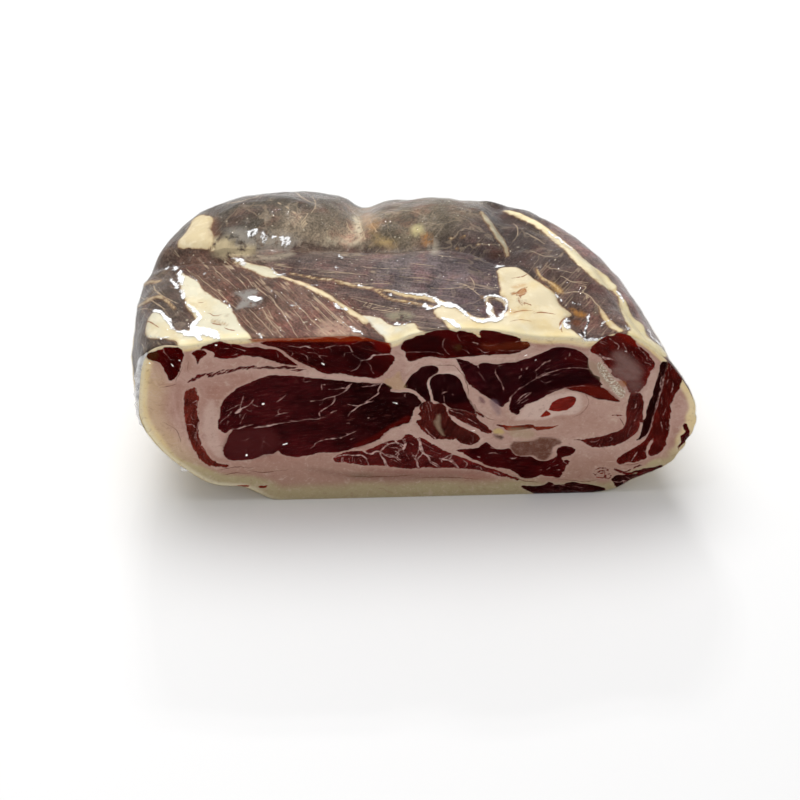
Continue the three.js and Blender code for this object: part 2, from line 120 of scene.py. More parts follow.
# Muscles on the cut: colour, fibre angle in degrees, marbling, outline.
CUT_MUSCLES = {
    "corner": ("3b0404", -70, 0.2, [
        (-86.2, 78.3), (-85.2, 79.7), (-83.6, 79.8), (-82.2, 80.7), (-80.2, 81.1), (-79.5, 82),
        (-76.9, 81.9), (-74.7, 81.8), (-73.6, 78.6), (-74.9, 73.5), (-75.6, 70.3), (-77.9, 66.1),
        (-79.3, 65.4), (-80.8, 69.5), (-82.2, 74.7), (-84.1, 75.7), (-85.6, 76), (-86.2, 76.7)]),
    "left_c": ("561f18", 80, 0.75, [
        (-74.6, 59.8), (-71.7, 61.4), (-70.7, 60.6), (-70.8, 58.6), (-70.2, 56.8), (-71.5, 52.9),
        (-71.3, 48.2), (-72.2, 36.4), (-71.6, 31.6), (-70.3, 26.7), (-68.3, 23.1), (-65.6, 20.9),
        (-62.8, 20.5), (-63.6, 19), (-66.2, 19.4), (-69.4, 19.8), (-72.4, 22.8), (-75.8, 34.1),
        (-76.2, 41.3), (-76.2, 48.4), (-75.6, 54.2)]),
    "chip": ("410805", -30, 0.1, [
        (-70.7, 78.5), (-69.7, 79.8), (-67.8, 80.3), (-65.9, 79.2), (-65.9, 77.8), (-67.2, 76.5),
        (-68.2, 75.8), (-68.7, 74.2), (-69.4, 72.9), (-69.5, 75.2), (-70, 77.5)]),
    "top_strip": ("3f0606", -15, 0.3, [
        (-67.6, 81.3), (-63.2, 83.4), (-61.6, 84.1), (-56.9, 82.8), (-55.5, 82.9), (-52.4, 81.2),
        (-50.6, 80.8), (-49.1, 81.1), (-47.3, 80.9), (-45.6, 80.1), (-42.8, 79.5), (-40.7, 78.4),
        (-38.2, 75.4), (-36.7, 73.8), (-35.5, 72.2), (-34.8, 71.5), (-38.4, 71.8), (-41.7, 72.8),
        (-42.9, 73.8), (-44.7, 74.4), (-48.1, 76.2), (-49.9, 76.2), (-51.2, 76.7), (-52.9, 76.9),
        (-56.1, 75.9), (-57.9, 75.6), (-59.4, 75.8), (-61, 75.6), (-62.1, 76.2), (-63.2, 76.4),
        (-63.5, 77.2), (-63, 78.5), (-66.1, 80.5), (-67.4, 80.5)]),
    "top_slab": ("360606", -20, 0.3, [
        (-47.2, 83), (-42.7, 83.8), (-38.3, 83.9), (-33, 84.1), (-32.3, 84), (-30.6, 84.2),
        (-26.2, 84.5), (-24.6, 84.9), (-21.1, 84.7), (-19.8, 84.2), (-18, 84.7), (-13.6, 85.1),
        (-12.8, 84.2), (-12, 83.8), (-11.2, 84.4), (-10.1, 84.6), (-5.8, 83.2), (-3.8, 82.1),
        (-2.5, 78.7), (-2.6, 77.2), (-3.1, 76.3), (-1.5, 74.3), (-3, 69.8), (-6.7, 65), (-8.5, 64),
        (-10.3, 64.5), (-13.2, 64.8), (-16.1, 65.5), (-18.7, 66.4), (-21.8, 66.9), (-24.7, 67),
        (-29.3, 69.5), (-31.5, 71.2), (-33.5, 72.4), (-37.3, 76), (-39.9, 79.3), (-41.2, 80)]),
    "great": ("3b0d0f", 12, 0.25, [
        (-64.9, 40.2), (-64.9, 43.1), (-64, 46.6), (-62.4, 53.6), (-58.4, 59.2), (-55.5, 61.3),
        (-48.6, 65.6), (-44.6, 66.9), (-36.1, 66.4), (-32.7, 65.6), (-28.5, 64.7), (-24.2, 64.1),
        (-19.8, 63.2), (-8, 61.5), (-6.2, 61.6), (-4.5, 60.9), (-2.8, 59), (-3.4, 57.9), (-3.1, 57.1),
        (-1.1, 56.8), (0.1, 56.5), (2.1, 56.9), (5.9, 54.9), (6.7, 52.7), (7.5, 51.3), (6.4, 49.2),
        (5.2, 48), (4.5, 45.4), (3.7, 43.2), (2.8, 40.6), (0.7, 40.3), (-0.8, 39), (-3.8, 37.5),
        (-6, 35.2), (-7.5, 33), (-9.4, 31.2), (-17.9, 27.5), (-21.2, 26.2), (-26.3, 25.8),
        (-30.4, 25.9), (-32, 24.8), (-34.9, 24.3), (-38.6, 23.6), (-43.6, 25.9), (-44.1, 27.3),
        (-44.9, 27.2), (-46.6, 26), (-49.8, 25.3), (-56.5, 22.6), (-62.6, 23.3), (-64, 25.1),
        (-64.3, 28.1), (-62.1, 34.7), (-61.4, 36.8), (-60.1, 38.5), (-60.2, 39.5), (-62.1, 38),
        (-63.2, 37.6), (-64.1, 39)]),
    "fan": ("501716", 25, 0.55, [
        (-24.7, 22), (-24.1, 23.6), (-22.2, 24.9), (-15.2, 26.6), (-13.7, 26), (-12.5, 26.8),
        (-10, 27.9), (-7.9, 29.6), (-2.4, 31.7), (-1.3, 30.7), (-1.2, 31.4), (0.3, 32), (1.9, 34.8),
        (3.9, 34.4), (5.7, 32.3), (6.9, 32.8), (15.3, 25.6), (18.4, 23.4), (22.8, 21.1), (25.7, 19.3),
        (28.7, 17), (31.2, 15.5), (33.5, 14.6), (36.1, 13.1), (39, 11), (43.2, 8.6), (42.8, 8),
        (38.3, 9.9), (34.6, 11.2), (31.3, 13.1), (25.8, 14.7), (22.8, 14.9), (15.9, 15.9), (13.3, 15.6),
        (10.4, 16.2), (3.1, 15.9), (-3.6, 16.9), (-5.1, 17.7), (-9.1, 18), (-13.9, 18.6), (-21.5, 20.2),
        (-23.6, 20.5)]),
    "knuckle_left": ("210506", 70, 0.05, [
        (1.4, 59.2), (2.8, 62.6), (4.2, 65.4), (6, 67.1), (7.7, 69.2), (12, 69.8), (13.3, 68.8),
        (13.7, 67.6), (13.4, 66.4), (12.9, 66), (10.1, 63.1), (9.6, 60.2), (10.7, 54.3), (11.1, 52.2),
        (10, 51.4), (7.9, 53.6), (5.6, 57), (2.7, 58.9)]),
    "knuckle_right": ("1d0305", 80, 0.05, [
        (13.2, 65.5), (14.6, 65.5), (18.4, 65.3), (21, 62.4), (22.8, 56.4), (24.6, 50.8), (25.5, 49),
        (26.3, 46.8), (26.9, 45), (24.7, 45.5), (21.7, 46.9), (18.8, 47.5), (16.7, 48.9), (15.5, 50.6),
        (14.6, 50.2), (13.2, 51.1), (12, 52.1), (11.5, 54.7), (10.6, 62.7)]),
    "hook": ("431511", 70, 0.3, [
        (7.5, 51), (6.6, 48.8), (7, 46.6), (6.1, 45.3), (7, 44), (7.5, 42.7), (5.8, 42.1), (5.5, 40.5),
        (6.6, 38.7), (7.8, 36.5), (9.9, 33.9), (11.9, 31.7), (16.4, 31.6), (18.8, 31.1), (20, 31.5),
        (20.8, 30.1), (22.5, 28.8), (24.9, 28.2), (27, 28.8), (28.2, 30.4), (28.4, 32.2), (25.7, 35.3),
        (23.3, 36.7), (19.1, 40.8), (16.9, 45), (16.2, 47.9), (15.2, 50.1), (13.5, 50.6), (12.1, 50.3),
        (11.4, 51.5), (10, 52)]),
    "splinter": ("421512", -35, 0.4, [
        (17, 47.5), (18.8, 47.3), (21.7, 46.7), (24.7, 45.3), (26.8, 44.6), (27.2, 42.4), (27.6, 41.5),
        (29.4, 39.6), (31.9, 36.6), (33.2, 35), (31.3, 34.3), (29.1, 35.1), (26.2, 37.7), (22.6, 40),
        (18.5, 43.9), (17.2, 45)]),
    "tongue": ("350504", 5, 0.2, [
        (0.4, 79.3), (2.7, 82.6), (4.6, 83.4), (5.4, 84.2), (7.5, 84.7), (9, 84.9), (9.2, 85.8),
        (15.2, 87.6), (17.3, 87.3), (18.9, 86.4), (19.8, 85.8), (20.3, 86.6), (22, 86.5), (23.3, 85.7),
        (25.2, 85.4), (27.2, 83.5), (27.8, 82.8), (28.1, 83.5), (27.6, 85), (28, 86.2), (29.4, 86.7),
        (37.9, 83.9), (41.8, 81.5), (41.4, 80.9), (43.5, 80.5), (44.9, 79.5), (44.6, 78), (41.8, 75.7),
        (39.7, 74.9), (28, 74.2), (22.7, 73.8), (17.9, 73.2), (10.6, 74), (8, 73.8), (5, 72.4),
        (3.4, 72.3), (2, 75.5), (2.4, 76.3)]),
    "arch": ("2a0609", 20, 0.2, [
        (19.7, 72.8), (23.8, 71.7), (26.5, 69.5), (27.5, 70.2), (29.4, 70.5), (34.8, 69.8),
        (37.2, 70.3), (40.4, 70.7), (46.7, 73.7), (49.1, 74.8), (51.1, 76.2), (53.1, 77.1),
        (55.8, 77.4), (60.7, 76.2), (64.3, 72.9), (65.3, 70.4), (65.2, 68.4), (65.7, 66.6),
        (66.8, 64.8), (67.6, 63.3), (69.4, 62.2), (69.9, 59.7), (70.9, 58), (70, 57.5), (71.7, 56),
        (76, 51.4), (77.7, 49.3), (72.3, 50.3), (70.5, 50.5), (68, 51.8), (65.6, 53.5), (62.6, 54.9),
        (59.6, 55.8), (57.5, 56.6), (52.7, 54.3), (49.3, 51.4), (46.4, 49.8), (44.4, 49), (43.5, 47.5),
        (42.4, 46.2), (42.1, 44.5), (41.3, 43.7), (39.8, 44.4), (38.5, 47.7), (38.7, 51.8),
        (38.3, 51.1), (37, 49.5), (36.2, 47.7), (30.5, 53.4), (28.4, 55.1), (26.3, 57.8), (24.5, 59.6),
        (22.2, 64.9), (20.8, 70), (20, 71.3)]),
    "oval": ("641b15", 15, 0, [
        (52.7, 46.2), (55.2, 51.1), (59.5, 52.6), (61.2, 52.1), (61.9, 50.8), (61.7, 48.8),
        (60.4, 46.7), (58.2, 45.3), (53.8, 45.2)]),
    "oval_tail": ("6d1f15", 15, 0, [
        (49.5, 42), (50.5, 43.6), (52, 45.8), (52.6, 44.7), (53.3, 43.7), (52.9, 43)]),
    "wedge": ("380708", -5, 0.3, [
        (19.8, 25.4), (24.9, 26.2), (27.8, 26.4), (29.6, 28.7), (30.6, 29.4), (32.1, 28.2),
        (34.3, 25.7), (37.6, 25.6), (39.1, 25.7), (40.4, 23.6), (41.9, 21.7), (44.4, 21.1), (47.1, 21),
        (49, 19.6), (51.1, 18.6), (53, 18.5), (56.2, 20.7), (56.5, 24.7), (58.1, 26), (59.9, 26.3),
        (63.1, 24.4), (62.6, 22.3), (61.1, 21), (59.1, 20.5), (58.4, 19.6), (59.2, 18.5), (60.2, 19.2),
        (61.3, 17.8), (60.4, 15), (59.4, 12.2), (58.6, 9.5), (57, 9), (55.2, 9.5), (53.3, 10),
        (51.4, 10.6), (49, 9.3), (47.2, 8.7), (45.4, 8.9), (43.5, 9.9), (42.2, 11.8), (40, 13.8),
        (37.9, 14.3), (33.4, 15.7), (30.5, 17.2), (27.9, 19.2), (25, 21.1), (22.8, 23.5)]),
    "foot": ("2a0606", -8, 0.6, [
        (43.8, 4.6), (46.8, 1.8), (51.7, -2), (66.7, -3), (74.5, -2), (75.4, 2.1), (70.7, 4.2),
        (61.9, 6.1), (59.3, 4.9), (56.7, 5), (54.4, 6.7), (51.8, 4.6)]),
    "cap": ("4b100d", -50, 0.4, [
        (65.6, 75.7), (68, 80), (70.2, 81.9), (68.6, 81.3), (70.3, 82.5), (71.8, 82.8), (73, 82.4),
        (74.2, 83.6), (77.5, 83.4), (79.1, 81.8), (80.5, 80), (81.6, 77.2), (83.2, 76.4), (86.2, 72.3),
        (88.5, 67.6), (88.4, 65.4), (87.2, 64.5), (87.1, 62.7), (86.5, 60.1), (85.9, 57.3),
        (85.2, 56.3), (84, 54.3), (81, 53.6), (79.8, 55.8), (78.3, 58.9), (76, 61.2), (73.8, 62.7),
        (73.2, 65.7), (71.2, 68.4), (69.2, 71.7), (71.3, 70.6), (66.2, 74.3)]),
    "right_hook": ("491714", 80, 0.3, [
        (81.1, 53.4), (82.7, 53.9), (84.7, 53.1), (86.1, 47.3), (86.3, 42.7), (86.3, 37.5),
        (85.5, 38.6), (85.3, 35), (84, 31.5), (78.7, 26.9), (75.6, 25.5), (72.4, 25.3), (70, 25.1),
        (75, 25.6), (72.6, 25.1), (71.4, 25.6), (69.6, 25.3), (65.8, 28), (64.6, 29.2), (62.3, 29.8),
        (63.6, 30), (65.7, 29.5), (68.1, 30.4), (73.4, 31.4), (68.1, 30.4), (70.5, 30.6), (77.5, 33.5),
        (79.4, 35.4), (80.3, 38.2), (80.2, 42.9), (80.1, 47.5), (80.7, 51)]),
    "outer_dark": ("1c0404", -80, 0.1, [
        (90.9, 69.2), (89.4, 58.2), (87.5, 45), (87, 39.8), (86.7, 39.7), (86.4, 34.4), (85.7, 30),
        (84.8, 28.2), (88.4, 30.7), (89.7, 37.3), (89.9, 40.8), (90.5, 42.5), (90.9, 47.2),
        (92.7, 65.2), (93, 68.3), (91.8, 69.3)]),
    "outer": ("420d09", -80, 0.4, [
        (93, 69.5), (92.7, 65.2), (90.4, 42.5), (90, 40.8), (89.5, 34), (87.5, 27.8), (83.8, 23.7),
        (80.7, 21.4), (78.5, 17.4), (80.7, 15.5), (82.3, 16.6), (85.2, 16.2), (87.1, 17.1),
        (89.1, 18.3), (89.5, 19.5), (89, 21.7), (88.9, 23.8), (90.2, 28.8), (90.8, 27.8), (89.9, 22.2),
        (90.5, 20.3), (91.8, 20), (93.7, 21.2), (95.1, 23.3), (95.7, 26.3), (95.7, 29.2), (96.2, 30.2),
        (96.1, 32.9), (96.1, 41.7), (95.9, 47), (96.4, 50.6), (97.6, 54.1), (98.8, 59.7), (98.1, 63.8),
        (94.5, 69.1)]),
    "fringe": ("2e0a09", 15, 0.7, [
        (77.6, 7.2), (79.1, 9.2), (81.6, 9.5), (83.6, 10), (88.5, 9.4), (89.8, 8.5), (83.7, 2.2),
        (81.3, 1.5), (79.6, 2.4), (78.3, 5.1)]),
    "fringe_top": ("2e0a09", 15, 0.6, [
        (84.4, 11.1), (87.5, 12.5), (91.9, 13.6), (94.3, 14.5), (96.1, 14.3), (95.3, 12.3),
        (92.1, 11.2), (89.7, 10.5)]),
    "rim_spot": ("3f0a0b", 70, 0.2, [
        (101.1, 36), (101.8, 37.4), (103.2, 34.1), (104.1, 26.1), (103.1, 27.4), (100.8, 23.7),
        (100.4, 22), (100.4, 24.9), (101.2, 27.9), (100.7, 30.3), (102, 31.8)]),
}

# Lean threads in the fat: colour, roughness of their edges, then x, z and half width along each.
CUT_THREADS = [
    ("3a090b", 0.7, [(84.8, 8.4, 0.59), (88.5, 10, 1.08), (92.1, 11.8, 0.98), (95.7, 13.7, 0.49)]),
    ("33080a", 0.7, [(80.2, 3.8, 0.78), (83.6, 4.4, 1.08), (86.5, 6.1, 1.18), (90, 8.6, 0.59)]),
    ("4a0f10", 0.9, [(78.6, 12.9, 0.44), (83.2, 10.2, 0.74), (85.4, 10.8, 0.39)]),
    ("66291c", 0.1, [
        (36.8, 38.2, 0.39), (37.9, 36.9, 1.07), (43.3, 36.9, 1.18), (45.6, 37.3, 1.13),
        (47, 37.3, 0.96), (47.2, 37.4, 0.39)]),
    ("66291c", 0.1, [(48.1, 36.4, 0.73), (48.7, 36.2, 0.92), (53.1, 36.6, 0.7), (56.4, 37.5, 0.17)]),
    ("4a1512", 0.3, [(34.6, 38.4, 0.26), (37.6, 37.1, 0.73)]),
    ("4a1512", 0.4, [(26.9, 45.9, 0.19), (28, 44.6, 0.51), (28.9, 43.7, 0.48), (29.8, 42.8, 0.2)]),
    ("6a2a14", 0.5, [(-67.6, 6.7, 0.26), (-62.7, 7.7, 0.78), (-59.8, 8.1, 0.78), (-56.4, 8.6, 0.39)]),
    ("5a2016", 0.1, [(-52.6, 7.7, 0.52), (-50.9, 7.5, 0.78), (-49.6, 8.2, 0.25)]),
    ("4f1a16", 0.5, [
        (70.9, 12.8, 0.16), (71.9, 13.7, 0.26), (73.5, 13.7, 0.29), (75.2, 12.9, 0.24),
        (76.2, 11.3, 0.15)]),
    ("4f1a16", 0.5, [
        (71.5, 9.6, 0.18), (72, 11.5, 0.27), (73, 12.4, 0.29), (74.3, 12, 0.24), (74.7, 10.7, 0.15)]),
    ("4f1a16", 0.5, [
        (71.8, 9, 0.26), (73.1, 8.3, 0.32), (74.3, 8.6, 0.28), (75, 9.5, 0.18), (74.2, 10.1, 0.23),
        (73.4, 9.8, 0.17)]),
    ("4f1a16", 0.5, [
        (75.1, 8.2, 0.25), (76.2, 7.6, 0.35), (76.9, 8.5, 0.23), (76.6, 10.1, 0.23),
        (75.6, 10.2, 0.17)]),
    ("4f1a16", 0.5, [(75.3, 12.3, 0.14), (76.4, 13, 0.2)]),
    ("4f1a16", 0.5, [(70.3, 11.3, 0.12), (71.1, 10.2, 0.15)]),
    ("4f1a16", 0.5, [(73, 10.7, 0.23), (73.8, 11.1, 0.23)]),
    ("3f1210", 0.6, [
        (78.4, 13.7, 0.23), (79.1, 12.1, 0.41), (81.5, 11.1, 0.46), (83, 11.9, 0.39),
        (83.9, 12.6, 0.22)]),
    ("3f1210", 0.6, [(85.2, 13.4, 0.23), (86.5, 14.2, 0.4), (87.7, 14.6, 0.23)]),
    ("57221e", 0.2, [(75.1, 42, 0.17), (76.6, 42.2, 0.31), (78.1, 42, 0.35), (79.3, 41.9, 0.13)]),
]

# Feathered threads of lean: slant in degrees, length of the strokes, x, z and half width along each,
# and the colour of the strokes and the roughness of their edges.
FEATHER_LOOK = ("401113", -0.15)
CUT_FEATHERS = [
    (35, 3.0, [(-70.8, 65.9, 0.14), (-69.3, 67.6, 0.27), (-68.2, 67.4, 0.48), (-66.2, 67.7, 0.88),
         (-64.6, 67.9, 1.09), (-63, 68.3, 1.22), (-61.1, 69, 1.02), (-59.3, 69.6, 0.88),
         (-57.5, 70.1, 0.75), (-55.6, 70.5, 0.81), (-53.9, 70.6, 0.81), (-52, 71.1, 0.68),
         (-50.7, 71.5, 0.41), (-49.7, 71.2, 0.2)]),
    (7, 4.0, [(-49, 70.6, 0.17), (-46.7, 70.7, 0.27), (-44, 71, 0.54), (-42.2, 70.8, 0.75),
         (-40.5, 70.6, 0.81), (-38.7, 70.3, 0.81), (-36.9, 70, 0.85), (-35.2, 69.5, 0.75),
         (-33.9, 68.9, 0.34)]),
    (40, 1.8, [(-72.6, 64.9, 0.5), (-70.7, 66.6, 0.69), (-68.9, 67.8, 0.59)]),
]

# Paler fat on the cut: strength, softness, outline.
CUT_PALE = [
    (0.35, 6, [(-4, 20), (40, 22), (92, 24), (96, 58), (84, 74), (0, 80), (-6, 60)]),
    (0.8, 1.4, [
        (46, 50.6), (58, 55), (63, 54.4), (64.6, 49), (62.8, 43.6), (56, 42.6), (52, 41), (40, 41.2),
        (42, 44.6)]),
    (0.9, 0.8, [
        (8.4, 54), (9.4, 60), (10.6, 63.6), (12.4, 64.6), (16, 66.6), (22, 66.4), (21.4, 65), (13, 65),
        (11.6, 59), (10.8, 53.6), (12, 49.6), (10, 50.4)]),
    (0.5, 1.5, [(-34, 70), (-22, 66.6), (-10, 65), (-6, 62.6), (-24, 64), (-33, 66)]),
    (0.6, 1.5, [(1, 64), (10, 73), (22, 72.4), (36, 71.2), (44, 72), (30, 74), (4, 71)]),
    (0.5, 1.5, [(-66, 24), (-70, 32), (-70, 48), (-66, 56), (-64, 48), (-65, 36), (-64, 26)]),
    (0.6, 1.2, [(86.2, 57), (87.6, 50), (87, 42), (85, 34), (86, 40), (86.4, 48), (85.4, 55)]),
    (0.5, 1.5, [(0, 36), (3, 43), (5, 46), (6, 40), (10, 33), (16, 28), (8, 30), (4, 33)]),
]

# Thin brown cracks and folds in the fat of the cut.
CUT_CRACKS = [
    [(-66.3, 17.7, 0.1), (-60.3, 19.2, 0.2), (-54.6, 18.4, 0.1)],
    [(-65.8, 15, 0.1), (-59.9, 15.8, 0.2), (-54.8, 15.1, 0.1)],
    [(-56, 17.4, 0.1), (-50, 15.8, 0.2), (-42, 17.2, 0.1)],
    [(-84, 44, 0.08), (-80, 40, 0.12), (-79, 34, 0.08)], [(78.4, 39.9, 0.15), (80, 36.5, 0.15)],
    [(80.4, 15.4, 0.1), (84, 15, 0.2), (88, 16.4, 0.1)],
    [(-20, 12.6, 0.1), (-8, 11.8, 0.2), (4, 12.2, 0.1)],
    [(6, 10.6, 0.1), (16, 10.8, 0.2), (28, 9, 0.1)], [(94.6, 44, 0.1), (96, 38, 0.12), (96.4, 32, 0.1)],
    [(65.6, 53, 0.07), (66.4, 50.6, 0.08), (66.5, 48, 0.09), (64.1, 43.7, 0.1), (62.1, 42.1, 0.08)],
    [(26.4, 49.4, 0.13), (27.3, 46.3, 0.16), (29.1, 44.4, 0.18), (31.8, 41.8, 0.15),
     (33.6, 41.3, 0.09)],
    [(13, 70, 0.14), (18.4, 69.7, 0.18), (19.8, 68.7, 0.18), (20.8, 67, 0.16), (21.4, 65, 0.13)],
    [(19.1, 69.7, 0.07), (20.3, 68.1, 0.09), (21.4, 66.1, 0.08)],
    [(21, 66.6, 0.14), (22.5, 63.6, 0.17), (24, 57.2, 0.13), (23.7, 53.4, 0.13)],
    [(23.7, 53.4, 0.15), (26.4, 47.2, 0.2), (27.1, 44.6, 0.14)],
    [(-82.6, 62, 0.12), (-80.6, 62.6, 0.17), (-78.1, 63.5, 0.12)],
    [(-74.6, 71.6, 0.07), (-77.4, 65.5, 0.11)], [(-72.2, 74.4, 0.07), (-72.9, 70.5, 0.07)],
    [(37.9, 11.1, 0.13), (42.3, 9.5, 0.17), (45.4, 7.3, 0.19), (49.8, 6.7, 0.15)],
    [(56.1, 8.5, 0.09), (60.8, 7.7, 0.13), (65.5, 6.6, 0.15), (69.8, 6.4, 0.15), (72.5, 7.2, 0.09)],
]

# Small white glints over the cut, painted as highlights into its colour.
CUT_GLINTS = [
    [(-62.2, 82.2, 0.3), (-62, 82.2, 0.3)], [(-48.3, 52.3, 0.45), (-48.1, 52.4, 0.4)],
    [(-56, 25.8, 0.3), (-56, 25, 0.4)], [(-42.5, 30.5, 0.25), (-41, 31.1, 0.35)],
    [(-26.7, 72.3, 0.2), (-25.7, 71.3, 0.3)], [(-2.6, 51.4, 0.15), (-1, 50.8, 0.25)],
    [(47, 71.3, 0.25), (47.2, 71.4, 0.2)], [(43, 73.4, 0.15), (43.8, 74, 0.2)],
    [(25.4, 35.8, 0.15), (26.4, 36, 0.2)], [(77.6, 74.6, 0.15), (78.2, 74.4, 0.15)],
    [(-78.4, 73.6, 0.15), (-77.6, 72.6, 0.2)], [(-85.6, 74.6, 0.25), (-85.3, 74.5, 0.2)],
    [(-75.6, 75.4, 0.15), (-75.2, 75.2, 0.2)],
]

